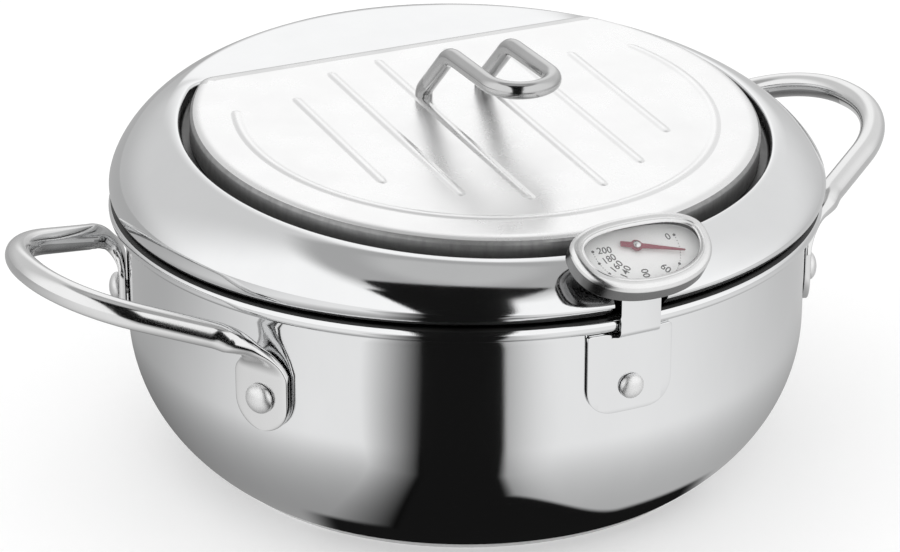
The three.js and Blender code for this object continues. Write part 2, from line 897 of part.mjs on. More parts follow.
// A line of sheet in the plane of symmetry, thickened to one side and given its width.
function bentStrip(line, sheet, width) {
  const normals = line.slice(1).map((point, k) => {
    const run = point.clone().sub(line[k]).normalize();
    return new THREE.Vector2(-run.y, run.x);
  });
  const far = line.map((point, k) => {
    const before = normals[Math.max(k - 1, 0)];
    const after = normals[Math.min(k, normals.length - 1)];
    const sum = before.clone().add(after);
    return point.clone().addScaledVector(sum, 2 * sheet / sum.lengthSq());
  });
  const shape = new THREE.Shape([...line, ...far.reverse()]);
  const strip = new THREE.ExtrudeGeometry(shape, { depth: width, bevelEnabled: false });
  return strip.translate(0, 0, -width / 2).applyMatrix4(new THREE.Matrix4().makeBasis(
    new THREE.Vector3(0, 1, 0),
    new THREE.Vector3(0, 0, 1),
    new THREE.Vector3(1, 0, 0),
  ));
}

function thermometerBracket() {
  const wallY = -(wallRadius + seatGap);
  const strapY = -(wallRadius + beadReach + strapBeadGap);
  const caseBack = -(caseFloorDepth + seatGap + bracketSheet);
  const lean = dialPoint(0, caseBack);
  const leanUp = (strapY - lean.x) / Math.cos(dialTurn);
  const line = [
    new THREE.Vector2(wallY, plateTop - plateCorner),
    new THREE.Vector2(wallY, plateTop - strapStepHeight / 2),
    new THREE.Vector2(strapY, plateTop + strapStepHeight / 2),
    dialPoint(leanUp - strapBend, caseBack),
    dialPoint(leanUp + strapBend, caseBack),
    dialPoint(tabBeyondPivot, caseBack),
  ];
  line[3].set(strapY, line[3].y);
  const strap = solid(bentStrip(line, bracketSheet, strapWidth));
  const bush = turned([
    [0, -bushLength - cutOverrun],
    [bushRadius + runningGap, -bushLength - cutOverrun],
    [bushRadius + runningGap, cutOverrun],
    [0, cutOverrun],
  ], smallRoundSteps);
  bush.translate(0, 0, -caseFloorDepth).rotateX(dialTurn).translate(0, pivotY, pivotZ);
  const hole = rivetHole(bracketRivetShank, frontAzimuth, plateRivetHeight);
  return surface(cut(joined(wallPatch(plateShape()), strap), solid(bush), hole));
}

// Thermometer

// The case's outline: an oval with a flatter top, as wide as the case a little below the
// pivot.
function caseOutline(offset) {
  const points = [];
  for (let step = 0; step < caseSteps; step += 1) {
    const angle = 2 * Math.PI * step / caseSteps;
    const upper = Math.sin(angle) >= 0;
    const squareness = upper ? upperSquarenessShare : lowerSquarenessShare;
    const reach = (upper ? caseUpper : caseLower) + offset;
    points.push(new THREE.Vector2(
      (caseHalfWidth + offset) * squared(Math.cos(angle), squareness / 2),
      caseWidestY + reach * squared(Math.sin(angle), squareness / 2),
    ));
  }
  return points;
}

function bore(radius, from, to) {
  return solid(turned([[0, from], [radius, from], [radius, to], [0, to]], smallRoundSteps));
}

const ledgeHeight = -dialThickness - seatGap;
const caseFloor = caseSheet - caseFloorDepth;
const lensBottom = caseWallTop + seatGap;
const lensTop = lensBottom + lensThickness;
const bezelTop = lensTop + bezelRise;

function thermometerCase() {
  const underside = quarterRound(caseUnderRadius, caseUnderRadius, 3).reverse();
  const outer = solid(stacked(caseOutline, [
    ...underside.map(([inward, up]) => [-inward, up - caseFloorDepth]),
    [0, caseWallTop],
  ]));
  const upper = solid(stacked(caseOutline, [
    [-caseSheet, ledgeHeight],
    [-caseSheet, caseWallTop + cutOverrun],
  ]));
  const lower = solid(stacked(caseOutline, [
    [-caseSheet - dialLedge, caseFloor],
    [-caseSheet - dialLedge, ledgeHeight + cutOverrun],
  ]));
  const hole = bore(bearingRadius + seatGap, -caseFloorDepth - cutOverrun, caseFloor + cutOverrun);
  return surface(cut(outer, upper, lower, hole));
}

function bezelRing() {
  const wall = seatGap + bezelSheet;
  const shoulder = quarterRound(bezelRadius, bezelRadius, 3);
  const outer = solid(stacked(caseOutline, [
    [wall, -bezelSkirt],
    ...shoulder.map(([inward, down]) => [wall - inward, bezelTop - down]),
  ]));
  const inner = solid(stacked(caseOutline, [
    [seatGap, -bezelSkirt - cutOverrun],
    [seatGap, lensTop + seatGap],
  ]));
  const window = solid(stacked(caseOutline, [
    [-bezelLip, lensTop - cutOverrun],
    [-bezelLip, bezelTop - bezelSheet],
    [bezelSheet - bezelLip, bezelTop + seatGap],
  ]));
  return surface(cut(outer, inner, window));
}

function dialLens() {
  return stacked(caseOutline, [
    [0, lensBottom],
    [0, lensTop - lensThickness / 3],
    [-lensThickness / 3, lensTop],
  ]);
}

function dialPlate() {
  const plate = solid(stacked(caseOutline, [
    [-caseSheet - seatGap, -dialThickness],
    [-caseSheet - seatGap, 0],
  ]));
  return surface(cut(plate, bore(arborRadius + runningGap, -cutOverrun, cutOverrun)));
}

function pointer() {
  const shape = new THREE.Shape([
    new THREE.Vector2(pointerLength, -pointerTipHalfWidth),
    new THREE.Vector2(pointerLength, pointerTipHalfWidth),
    new THREE.Vector2(0, pointerHalfWidth),
    new THREE.Vector2(-pointerTail, pointerHalfWidth),
    new THREE.Vector2(-pointerTail, -pointerHalfWidth),
    new THREE.Vector2(0, -pointerHalfWidth),
  ]);
  const blade = new THREE.ExtrudeGeometry(shape, { depth: pointerThickness, bevelEnabled: false });
  blade.translate(0, 0, pointerHeight);
  const boss = bore(pointerHubRadius, pointerHeight, pointerHeight + pointerThickness);
  const hole = bore(arborRadius + seatGap / 2, -cutOverrun, cutOverrun);
  return surface(cut(joined(solid(blade), boss), hole)).rotateZ(rad(pointerAngle));
}

const pointerTop = pointerHeight + pointerThickness;

function pointerHub() {
  const bottom = pointerTop + seatGap;
  const crown = quarterRound(hubRadius, hubHeight / 2, 2);
  return turned([
    [0, bottom],
    [hubRadius, bottom],
    ...crown.map(([inward, down]) => [hubRadius - inward, bottom + hubHeight - down]),
  ], smallRoundSteps);
}

function pointerArbor() {
  const end = -arborLength;
  const arborFootRadius = stemRadius - stemWall - arborFootGap;
  return turned([
    [0, end],
    [arborFootRadius, end],
    [arborFootRadius, end + arborFootLength],
    [arborRadius, end + arborFootLength],
    [arborRadius, pointerTop],
    [0, pointerTop],
  ], smallRoundSteps);
}

function arborBearing() {
  const inner = arborRadius + runningGap;
  const flange = caseFloor + seatGap;
  return turnedRing([
    [inner, -caseFloorDepth],
    [bearingRadius, -caseFloorDepth],
    [bearingRadius, flange],
    [bearingFlange, flange],
    [bearingFlange, flange + caseSheet],
    [inner, flange + caseSheet],
  ], smallRoundSteps);
}

// The probe reaches down to a named height over the inside of the pot's floor.
const probeTipHeight = floorHeight + floorSheet + probeTipLift;
const stemLength = (pivotZ - probeTipHeight) / Math.cos(dialTurn) - plugLength;

// The bush stands under the case, passes through the bracket and holds the probe.
function probeBush() {
  const top = -caseFloorDepth - seatGap;
  const bottom = top - bushLength;
  return turnedRing([
    [stemRadius + seatGap, bottom],
    [bushRadius - caseSheet, bottom],
    [bushRadius, bottom + caseSheet],
    [bushRadius, top],
    [stemRadius + seatGap, top],
  ], smallRoundSteps);
}

function probeTube() {
  const top = -caseFloorDepth - seatGap;
  return turnedRing([
    [stemRadius - stemWall, -stemLength],
    [stemRadius, -stemLength],
    [stemRadius, top],
    [stemRadius - stemWall, top],
  ], smallRoundSteps);
}

function probePlug() {
  const bottom = -stemLength - plugLength;
  const spigot = stemRadius - stemWall - seatGap;
  const tip = quarterRound(stemRadius, plugLength * plugRoundShare, 3).reverse();
  return turned([
    ...tip.map(([inward, up]) => [stemRadius - inward, bottom + up]),
    [stemRadius, -stemLength - seatGap],
    [spigot, -stemLength - seatGap],
    [spigot, -stemLength + plugSpigot],
    [0, -stemLength + plugSpigot],
  ], smallRoundSteps);
}

// The bimetal strip is one helix inside the probe, from the plug up to the arbor's foot.
function bimetalCoil() {
  const bottom = -stemLength + plugSpigot + seatGap + coilStripWidth / 2;
  const top = -arborLength - seatGap - coilStripWidth / 2;
  const coilRadius = stemRadius - stemWall - coilGap - coilStripThickness / 2;
  const steps = coilTurns * coilStepsPerTurn;
  const rings = [];
  for (let step = 0; step <= steps; step += 1) {
    const angle = 2 * Math.PI * step / coilStepsPerTurn;
    const height = THREE.MathUtils.lerp(bottom, top, step / steps);
    rings.push([[-1, -1], [1, -1], [1, 1], [-1, 1]].map(([out, up]) => {
      const radius = coilRadius + out * coilStripThickness / 2;
      return new THREE.Vector3(
        radius * Math.cos(angle),
        radius * Math.sin(angle),
        height + up * coilStripWidth / 2,
      );
    }));
  }
  return skinned(rings);
}

// The assembly

function piece(name, geometry, material) {
  const body = closed(geometry);
  body.computeVertexNormals();
  const mesh = new THREE.Mesh(body, material);
  mesh.name = name;
  return mesh;
}

const pot = new THREE.Group();
pot.add(piece('pot_body', potBody(), polished()));
pot.add(piece('base_plate', basePlate(), satin()));
pot.add(piece('splash_collar', splashCollar(), polished()));
pot.add(piece('lid', lid(), polished()));
pot.add(piece('lid_handle', lidHandle(), polished()));

const leftHandle = sideHandle().rotateZ(rad(handleTurn));
pot.add(piece('handle_left', leftHandle, polished()));
pot.add(piece('handle_right', leftHandle.clone().rotateZ(Math.PI), polished()));

for (const [name, azimuth] of Object.entries(handleAzimuths)) {
  const seat = wallRadius + seatGap + tabThickness + seatGap;
  const geometry = rivet(
    handleRivetHead,
    handleRivetRise,
    handleRivetShank,
    seat,
    azimuth,
    tabRivetHeight,
  );
  pot.add(piece(name, geometry, rivetSteel()));
}

pot.add(piece('thermometer_bracket', thermometerBracket(), polished()));
pot.add(piece('bracket_rivet', rivet(
  bracketRivetHead,
  bracketRivetRise,
  bracketRivetShank,
  wallRadius + seatGap + bracketSheet + seatGap,
  frontAzimuth,
  plateRivetHeight,
), rivetSteel()));

const thermometer = new THREE.Group();
thermometer.position.set(0, pivotY, pivotZ);
thermometer.rotation.x = dialTurn;
thermometer.add(piece('thermometer_case', thermometerCase(), satin()));
thermometer.add(piece('bezel_ring', bezelRing(), satin()));
thermometer.add(piece('dial_lens', dialLens(), plain('clear_lens', 0xf4f6f7, 0.05)));
thermometer.add(piece('dial_plate', dialPlate(), plain('white_enamel', 0xf1f1ef, 0.5)));
thermometer.add(piece('pointer', pointer(), plain('red_paint', 0xb3243a, 0.4)));
thermometer.add(piece('pointer_hub', pointerHub(), steel('hub_steel', 0xb9bbbc, 0.3)));
thermometer.add(piece('pointer_arbor', pointerArbor(), steel('arbor_steel', 0xb0b2b4, 0.3)));
thermometer.add(piece('arbor_bearing', arborBearing(), steel('bearing_brass', 0xb08d4a, 0.35)));
thermometer.add(piece('probe_bush', probeBush(), satin()));
thermometer.add(piece('probe_tube', probeTube(), satin()));
thermometer.add(piece('probe_plug', probePlug(), satin()));
thermometer.add(piece('bimetal_coil', bimetalCoil(), steel('bimetal_strip', 0xa58b62, 0.4)));
pot.add(thermometer);

export default pot;
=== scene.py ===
# %% [markdown]
# # A tempura pot, dressed in Blender
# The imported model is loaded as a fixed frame. Each piece that shows is then modelled again
# as a smooth mesh in the place of its solid, and gets its finish. All sizes are in
# millimetres and are multiplied by MM, because Blender works in metres.

# %% Load the frame
import math

import bpy
from mathutils import Matrix, Vector


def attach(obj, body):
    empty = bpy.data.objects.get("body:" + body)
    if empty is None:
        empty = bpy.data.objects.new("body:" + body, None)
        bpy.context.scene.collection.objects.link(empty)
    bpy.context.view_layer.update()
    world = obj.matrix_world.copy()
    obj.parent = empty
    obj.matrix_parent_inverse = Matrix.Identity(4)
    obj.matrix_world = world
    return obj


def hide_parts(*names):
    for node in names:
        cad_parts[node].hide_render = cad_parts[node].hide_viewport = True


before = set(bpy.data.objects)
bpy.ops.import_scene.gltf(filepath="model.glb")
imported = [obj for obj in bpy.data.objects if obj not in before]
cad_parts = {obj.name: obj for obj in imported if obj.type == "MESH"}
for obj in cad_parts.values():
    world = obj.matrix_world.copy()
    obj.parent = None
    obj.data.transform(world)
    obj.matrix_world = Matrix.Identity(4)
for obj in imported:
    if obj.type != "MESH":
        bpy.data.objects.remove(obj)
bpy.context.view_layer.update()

MM = 0.001

# %% [markdown]
# ## Adding and cleaning a mesh
# An operator acts on all that is selected, so every helper selects its own piece first, and
# a primitive is added with nothing else selected. A line that closes on itself leaves
# doubled points: they are merged, and the faces are turned outwards, before a piece is used.


# %% Add, clean and close
def added(primitive, **settings):
    bpy.ops.object.select_all(action="DESELECT")
    primitive(**settings)
    return bpy.context.object


def only(piece):
    bpy.ops.object.select_all(action="DESELECT")
    piece.select_set(True)
    bpy.context.view_layer.objects.active = piece


def edit_all(piece):
    only(piece)
    bpy.ops.object.mode_set(mode="EDIT")
    bpy.ops.mesh.select_all(action="SELECT")


def named(piece, name):
    piece.name = piece.data.name = name
    return piece


def cleaned(piece):
    edit_all(piece)
    bpy.ops.mesh.remove_doubles(threshold=1e-6)
    bpy.ops.mesh.normals_make_consistent(inside=False)
    bpy.ops.object.mode_set(mode="OBJECT")
    return piece


def closed_ends(piece):
    edit_all(piece)
    bpy.ops.mesh.fill_holes(sides=0)
    bpy.ops.mesh.normals_make_consistent(inside=False)
    bpy.ops.object.mode_set(mode="OBJECT")
    return piece


def triangle_count(piece):
    piece.data.calc_loop_triangles()
    return len(piece.data.loop_triangles)


print("nodes in the frame:", len(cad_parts))

# %% [markdown]
# ## Two ways to make a skin
# A pressed sheet can be thought of as a flat grid that is rolled up: every row of the grid
# becomes one ring of the piece. A turned piece is simpler: its profile is a line of points,
# and the spin tool sweeps it round an axis. Subdivided primitives could be pushed into
# shape too, but both of these ways leave evenly spaced faces, which a mirror finish needs.


# %% Rolled and turned pieces
def rolled(name, rings):
    """A flat grid, rolled up so that each of its rows becomes one ring."""
    across, rows = len(rings[0]), len(rings)
    piece = added(bpy.ops.mesh.primitive_grid_add, x_subdivisions=across,
                  y_subdivisions=rows - 1, size=1)
    for place, vertex in enumerate(piece.data.vertices):
        row, column = divmod(place, across + 1)
        vertex.co = Vector(rings[row][column % across]) * MM
    return cleaned(named(piece, name))


def turned(name, profile, steps):
    """A profile of (radius, height) points, drawn by extruding a point, and spun round Z."""
    piece = named(added(bpy.ops.mesh.primitive_plane_add, size=MM), name)
    edit_all(piece)
    bpy.ops.mesh.merge(type="CENTER")
    radius, height = profile[0]
    bpy.ops.transform.translate(value=(radius * MM, 0, height * MM))
    for (r0, z0), (r1, z1) in zip(profile, profile[1:]):
        bpy.ops.mesh.extrude_region_move(
            TRANSFORM_OT_translate={"value": ((r1 - r0) * MM, 0, (z1 - z0) * MM)})
    bpy.ops.mesh.select_all(action="SELECT")
    bpy.ops.mesh.spin(steps=steps, angle=2 * math.pi, center=(0, 0, 0), axis=(0, 0, 1))
    bpy.ops.object.mode_set(mode="OBJECT")
    return cleaned(piece)


def smooth(piece, angle):
    only(piece)
    bpy.ops.object.shade_smooth_by_angle(angle=math.radians(angle))
    return piece


def modified(piece, kind, **settings):
    only(piece)
    modifier = piece.modifiers.new(kind, kind)
    for key, value in settings.items():
        setattr(modifier, key, value)
    bpy.ops.object.modifier_apply(modifier=modifier.name)
    return piece


def cut(piece, tool, operation="DIFFERENCE"):
    modified(piece, "BOOLEAN", operation=operation, object=tool, solver="MANIFOLD")
    bpy.data.objects.remove(tool)
    return piece


print("helpers for pieces:", [f.__name__ for f in (rolled, turned, smooth, modified, cut)])

# %% [markdown]
# ## Lines
# A profile needs few points of its own. An arc is drawn by its centre, radius and angles,
# and a free line by a handful of points that it follows with even bends, because a bend
# that changes suddenly shows at once in polished steel.


# %% Arcs and free lines
def arc(centre, radius, start, end, steps):
    turns = (math.radians(start + (end - start) * k / steps) for k in range(steps + 1))
    return [(centre[0] + radius * math.cos(a), centre[1] + radius * math.sin(a)) for a in turns]


def curve_along(points, steps):
    """A line that follows the given points with even bends, as a cubic B-spline does."""
    first = tuple(2 * a - b for a, b in zip(points[0], points[1]))
    last = tuple(2 * a - b for a, b in zip(points[-1], points[-2]))
    points = [first, *points, last]
    line = []
    for p0, p1, p2, p3 in zip(points, points[1:], points[2:], points[3:]):
        for t in (step / steps for step in range(steps)):
            weights = ((1 - t) ** 3, 3 * t ** 3 - 6 * t * t + 4,
                       3 * t + 3 * t * t - 3 * t ** 3 + 1, t ** 3)
            line.append(tuple(sum(w * c for w, c in zip(weights, column)) / 6
                              for column in zip(p0, p1, p2, p3)))
    return line + [points[-2]]


print("points on a quarter arc in 6 steps:", len(arc((0, 0), 1, 0, 90, 6)))

# %% [markdown]
# ## Finishes
# Every steel on this pot is the same metal with a different surface; a few darker or paler
# copies of it paint shade, dark reflections or a highlight where they are used. A polished
# wall is nearly a mirror, with faint wiping marks that change its roughness; a satin piece is
# rougher, with fine turning lines. A picture could be wrapped round each piece, but noise on
# Object coordinates has no seam and stays on the piece when it moves.


# %% Nodes that the finishes share
def new_material(name):
    material = bpy.data.materials.new(name)
    material.use_nodes = True
    nodes, links = material.node_tree.nodes, material.node_tree.links
    return material, nodes, links, nodes["Principled BSDF"]


def noise(nodes, links, scale, stretch=(1, 1, 1), detail=4, roughness=0.5):
    place = nodes.new("ShaderNodeTexCoord")
    mapping = nodes.new("ShaderNodeMapping")
    mapping.inputs["Scale"].default_value = stretch
    texture = nodes.new("ShaderNodeTexNoise")
    texture.inputs["Scale"].default_value = scale
    texture.inputs["Detail"].default_value = detail
    texture.inputs["Roughness"].default_value = roughness
    links.new(place.outputs["Object"], mapping.inputs["Vector"])
    links.new(mapping.outputs["Vector"], texture.inputs["Vector"])
    return texture.outputs["Fac"]


def ranged(nodes, links, value, low, high):
    """The middle of a noise, from 0.3 to 0.7, stretched to a range of its own."""
    change = nodes.new("ShaderNodeMapRange")
    change.inputs["From Min"].default_value = 0.3
    change.inputs["From Max"].default_value = 0.7
    change.inputs["To Min"].default_value = low
    change.inputs["To Max"].default_value = high
    links.new(value, change.inputs["Value"])
    return change.outputs["Result"]


def blended(nodes, links, share, first, second):
    mix = nodes.new("ShaderNodeMix")
    mix.data_type = "RGBA"
    links.new(share, mix.inputs["Factor"])
    mix.inputs["A"].default_value = (*first, 1)
    mix.inputs["B"].default_value = (*second, 1)
    return mix.outputs["Result"]


print("materials from the frame:", len(bpy.data.materials))


# %% Steel recipe
def steel(name, light, dark, rough, wipe=60, grain=2600, stretch=(1, 1, 1), depth=0.02, metal=1):
    """Steel with wiping marks between two colours and two roughnesses, and a fine grain."""
    material, nodes, links, shader = new_material(name)
    shader.inputs["Metallic"].default_value = metal
    smear = noise(nodes, links, wipe, (1, 1, 0.35), 5, 0.6)
    links.new(ranged(nodes, links, smear, *rough), shader.inputs["Roughness"])
    links.new(blended(nodes, links, smear, light, dark), shader.inputs["Base Color"])
    bump = nodes.new("ShaderNodeBump")
    bump.inputs["Strength"].default_value = depth
    bump.inputs["Distance"].default_value = 0.2 * MM
    links.new(noise(nodes, links, grain, stretch, 2), bump.inputs["Height"])
    links.new(bump.outputs["Normal"], shader.inputs["Normal"])
    return material


def grey(value):
    return (value, value, value)


mirror_steel = steel("mirror_steel", (0.83, 0.835, 0.84), (0.78, 0.785, 0.79), (0.05, 0.09))
rod_steel = steel("rod_steel", grey(0.80), grey(0.72), (0.09, 0.16))
# painted dark reflection: a darker copy of the rod steel for legs and undersides
painted_dark_reflection = steel("painted_dark_reflection", grey(0.46), grey(0.30), (0.16, 0.24))
wire_steel = steel("wire_steel", grey(0.60), grey(0.48), (0.10, 0.17))
rivet_head_steel = steel("rivet_head_steel", grey(0.86), grey(0.80), (0.34, 0.44), depth=0)
print("polished steels:", [m.name for m in (mirror_steel, rod_steel, painted_dark_reflection, wire_steel)])

# %% [markdown]
# The lid is brushed, so it mirrors only softly. Its skirt keeps the upright lines of the
# press, and is darker steel as painted shade, for it stands in the gap. The gutter and the
# joint at the rim lie so deep between two walls that they show nearly black: that shade is
# painted on them as darker steel, which draws it more calmly than mirrors facing mirrors would.

# %% Brushed, pressed and dark steels
lid_steel = steel("lid_steel", grey(0.90), grey(0.86), (0.25, 0.32))
# real press lines, with painted shade: the lid's skirt is darker than the lid's top
skirt_press_lines_and_painted_shade = steel("skirt_press_lines_and_painted_shade", grey(0.42), grey(0.20), (0.36, 0.46),
                    wipe=420, grain=1500, stretch=(1, 1, 0.1), depth=0.12, metal=0.75)
matt_steel = steel("matt_steel", grey(0.72), grey(0.64), (0.24, 0.34),
                   grain=900, stretch=(1, 1, 12), depth=0.08)
# painted highlight: a pale, mostly non-metal steel for the base plate's edge
painted_edge_highlight = steel("painted_edge_highlight", grey(0.86), grey(0.74), (0.3, 0.4), metal=0.2)
# painted shade: dark steel for the collar's gutter
painted_gutter_shade = steel("painted_gutter_shade", grey(0.14), grey(0.08), (0.26, 0.36))
# painted shade: near-black steel for the joint at the rim and the collar's foot
painted_joint_shade = steel("painted_joint_shade", grey(0.06), grey(0.03), (0.3, 0.42))
case_steel = steel("case_steel", grey(0.27), grey(0.18), (0.20, 0.30))
bezel_steel = steel("bezel_steel", grey(0.84), grey(0.76), (0.20, 0.30))
print("materials after the steels:", len(bpy.data.materials))

# %% [markdown]
# The dial, its pointer and the lens are not steel: enamel, paint and clear glass. The brass
# bearing and the strip inside the probe are seen only when the thermometer is taken apart,
# but they get their own finish too. The lens could be solid glass; a clear skin with little
# alpha keeps the dial under it as white as a thin real lens does.


# %% Enamel, paint, glass and brass
def coated(name, colour, second, rough):
    """An opaque coat with fine specks between two colours."""
    material, nodes, links, shader = new_material(name)
    speck = noise(nodes, links, 900, (1, 1, 1), 6)
    links.new(blended(nodes, links, speck, colour, second), shader.inputs["Base Color"])
    links.new(ranged(nodes, links, speck, *rough), shader.inputs["Roughness"])
    return material


dial_enamel = coated("dial_enamel", (0.95, 0.95, 0.945), (0.91, 0.91, 0.905), (0.38, 0.5))
dial_ink = coated("dial_ink", (0.035, 0.033, 0.035), (0.06, 0.055, 0.055), (0.5, 0.65))
pointer_red = coated("pointer_red", (0.26, 0.012, 0.045), (0.20, 0.010, 0.035), (0.4, 0.5))
brass = steel("brass", (0.70, 0.53, 0.26), (0.60, 0.44, 0.20), (0.22, 0.32))
bimetal = steel("bimetal", (0.62, 0.52, 0.36), (0.50, 0.42, 0.30), (0.3, 0.4))

lens_glass, nodes, links, shader = new_material("lens_glass")
shader.inputs["Base Color"].default_value = (0.95, 0.96, 0.96, 1)
shader.inputs["Alpha"].default_value = 0.07
links.new(ranged(nodes, links, noise(nodes, links, 140), 0.01, 0.04), shader.inputs["Roughness"])
print("materials:", len(bpy.data.materials))

# %% [markdown]
# ## Handing a piece over
# A finished piece gets its material, rides on a body and stands for a node of the frame.
# Some pieces have two finishes. They could be split in two, but a real pressed sheet has no
# seam there, so the second finish is given to faces that are chosen by place and direction.


def placed(piece, body, material, *nodes_replaced):
    piece.data.materials.clear()
    piece.data.materials.append(material)
    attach(piece, body)
    if nodes_replaced:
        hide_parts(*nodes_replaced)
    print(f"{piece.name}: {triangle_count(piece)} triangles on {body}")
    return piece


def second_finish(piece, material, chosen):
    """Another finish for the faces whose middle and normal pass a test."""
    piece.data.materials.append(material)
    found = [f for f in piece.data.polygons if chosen(f.center / MM, f.normal)]
    for face in found:
        face.material_index = len(piece.data.materials) - 1
    print(f"{piece.name}: {len(found)} faces in {material.name}")


# %% [markdown]
# ## The pot body
# The bowl is one sheet, pressed deep and curled outward at the rim. It could be skinned from
# rings, but it is round all over, so its profile is spun round the pot's axis: up the
# outside, round the curl and down the inside. The lower wall is a quarter of an ellipse, so
# it meets the straight wall and the floor without a step.

# %% Pot body
wall_radius, pot_sheet = 119, 1.2
bowl_centre, bowl_top, bowl_depth = 50, 52, 63
floor_height, floor_sheet, floor_ring = 3.1, 1.5, 40
wall_ring, curl_start = 70, 86.5
rim_height, bead_radius, bead_reach = 95.5, 2.6, 5.5


def bowl_line(sheet, lowest, steps=30):
    last = math.asin((bowl_top - lowest) / (bowl_depth - sheet))
    return [(bowl_centre + (wall_radius - sheet - bowl_centre) * math.cos(last * (1 - k / steps)),
             bowl_top - (bowl_depth - sheet) * math.sin(last * (1 - k / steps)))
            for k in range(steps + 1)]


inner_wall, inner_floor = wall_radius - pot_sheet, floor_height + floor_sheet
bead_centre = (wall_radius + bead_reach - bead_radius, rim_height - bead_radius)
outside = bowl_line(0, floor_height) + [(wall_radius, wall_ring), (wall_radius, curl_start)]
outside += [(wall_radius + 0.1, curl_start + 2.1)] + arc(bead_centre, bead_radius, -140, 90, 20)
inside = arc((inner_wall + bead_radius, rim_height - bead_radius), bead_radius, 90, 180, 8)
inside += [(inner_wall, wall_ring)] + bowl_line(pot_sheet, inner_floor)[::-1]
profile = [(0, floor_height), (floor_ring, floor_height)] + outside + inside
profile += [(floor_ring, inner_floor), (0, inner_floor)]
bowl = smooth(turned("pot_shell", profile, 192), 30)
placed(bowl, "pot", mirror_steel, "pot_body")

# %% [markdown]
# Where the collar drops into the rim, a thin dark line runs round the pot: the shade between
# two curled edges. A deeper gap would spoil the fit, so that shade is painted: the top of the
# rim, which lies in it, gets a near-black steel.

# %% Painted shade on top of the rim
joint_depth, joint_radius = 0.7, 118


def on_rim(point, normal):
    return point.z > rim_height - joint_depth and math.hypot(point.x, point.y) > joint_radius


second_finish(bowl, painted_joint_shade, on_rim)

# %% [markdown]
# ## The base plate
# A disc with softened edges, bonded under the floor to spread the heat. It is turned like
# the bowl. Its edge is a thin bright band at the very bottom of the pot, a painted highlight:
# it gets a paler, less metallic finish than the mirror above it.

# %% Base plate
base_radius, base_thickness, base_margin = 90.3, 2.8, 6
lower_edge, upper_edge = 0.7, 0.5
profile = [(0, 0), (base_radius - base_margin, 0)]
profile += arc((base_radius - lower_edge, lower_edge), lower_edge, -90, 0, 5)
profile += arc((base_radius - upper_edge, base_thickness - upper_edge), upper_edge, 0, 90, 4)
profile += [(base_radius - base_margin, base_thickness), (0, base_thickness)]
base = smooth(turned("base_disc", profile, 160), 30)
placed(base, "pot", painted_edge_highlight, "base_plate")

# %% [markdown]
# ## The D-shaped mouth
# Collar and lid share one outline: an arc closed by a straight edge at the back, with round
# corners. It is drawn at any offset, always with the same number of points, so that rings
# at different offsets can be skinned together. Everything above the rim is shaped level and
# then sloped: the rim stays, the mouth turns 4.7 degrees towards the front. Tilting a
# finished collar would lift its rim as well, so the slope grows with the height.

# %% Outline and slope
mouth_radius, mouth_straight, mouth_corner = 102, 66, 11
mouth_slope, mouth_shift = math.radians(4.7), 5.6
collar_sheet, collar_top, gutter_depth = 1.0, 26.3, 5.0
collar_floor = collar_top - gutter_depth
arc_steps, corner_steps, straight_steps = 150, 14, 44


def mouth_outline(offset):
    radius, corner = mouth_radius + offset, mouth_corner + offset
    straight = mouth_straight + offset
    corner_y = straight - corner
    corner_x = math.sqrt((radius - corner) ** 2 - corner_y ** 2)
    meets = math.degrees(math.atan2(corner_y, corner_x))
    line = arc((0, 0), radius, 180 - meets, 360 + meets, arc_steps)[:-1]
    line += arc((corner_x, corner_y), corner, meets, 90, corner_steps)[:-1]
    line += [(corner_x - 2 * corner_x * k / straight_steps, straight)
             for k in range(straight_steps)]
    line += arc((-corner_x, corner_y), corner, 90, 180 - meets, corner_steps)[:-1]
    return line


def sloped(x, y, height):
    """A point above the level rim, moved to where the sloped collar has it."""
    share = min(max(height / (collar_floor - collar_sheet), 0), 1)
    share = share * share * (3 - 2 * share)
    turn = mouth_slope * share
    return (x, y * math.cos(turn) - height * math.sin(turn) - mouth_shift * share,
            rim_height + y * math.sin(turn) + height * math.cos(turn))


def mouth_ring(offset, height):
    return [sloped(x, y, height) for x, y in mouth_outline(offset)]


ring_angles = [math.atan2(y, x) for x, y in mouth_outline(0)]


def round_ring(radius, height):
    return [sloped(radius * math.cos(a), radius * math.sin(a), height) for a in ring_angles]


print("points in a ring:", len(ring_angles))

# %% [markdown]
# ## The splash collar
# The collar is one pressed sheet: a skirt that drops into the rim, a dome, a rolled lip, and
# a gutter with a ledge for the lid. It cannot be spun, because its mouth is not round. The
# dome's rings are circles and the gutter's rings are D-shaped; the rings between them blend
# from one to the other. Only the upper face is drawn, and Solidify gives the sheet its
# thickness downwards.

# %% Skirt and dome
skirt_radius, skirt_bend, foot_radius = 117.4, 1.3, 121.0
dome_end, dome_end_height = 107.6, 25.1
dome = [(foot_radius, 0.3), (122.7, 0.9), (123.96, 2.6), (124.6, 5.3), (124.33, 8.7),
        (122.6, 12.9), (119.2, 17.1), (114.8, 20.8), (110.6, 23.5), (dome_end, dome_end_height)]
rings = [round_ring(skirt_radius, h) for h in (-7.5, -4, -1)]
rings += [round_ring(r, h)
          for r, h in arc((skirt_radius + skirt_bend, -1.0), skirt_bend, 180, 90, 4)[1:]]
rings += [round_ring(r, h) for r, h in curve_along(dome, 6)]
print("rings of skirt and dome:", len(rings))

# %% [markdown]
# Between the last circle and the D-shaped lip, every ring is a mixture of the two. Its
# height climbs quickly at first and then flattens, so the corners at the back, which are far
# from the circle, stay as full as the front. The lip itself is rolled over by an arc.

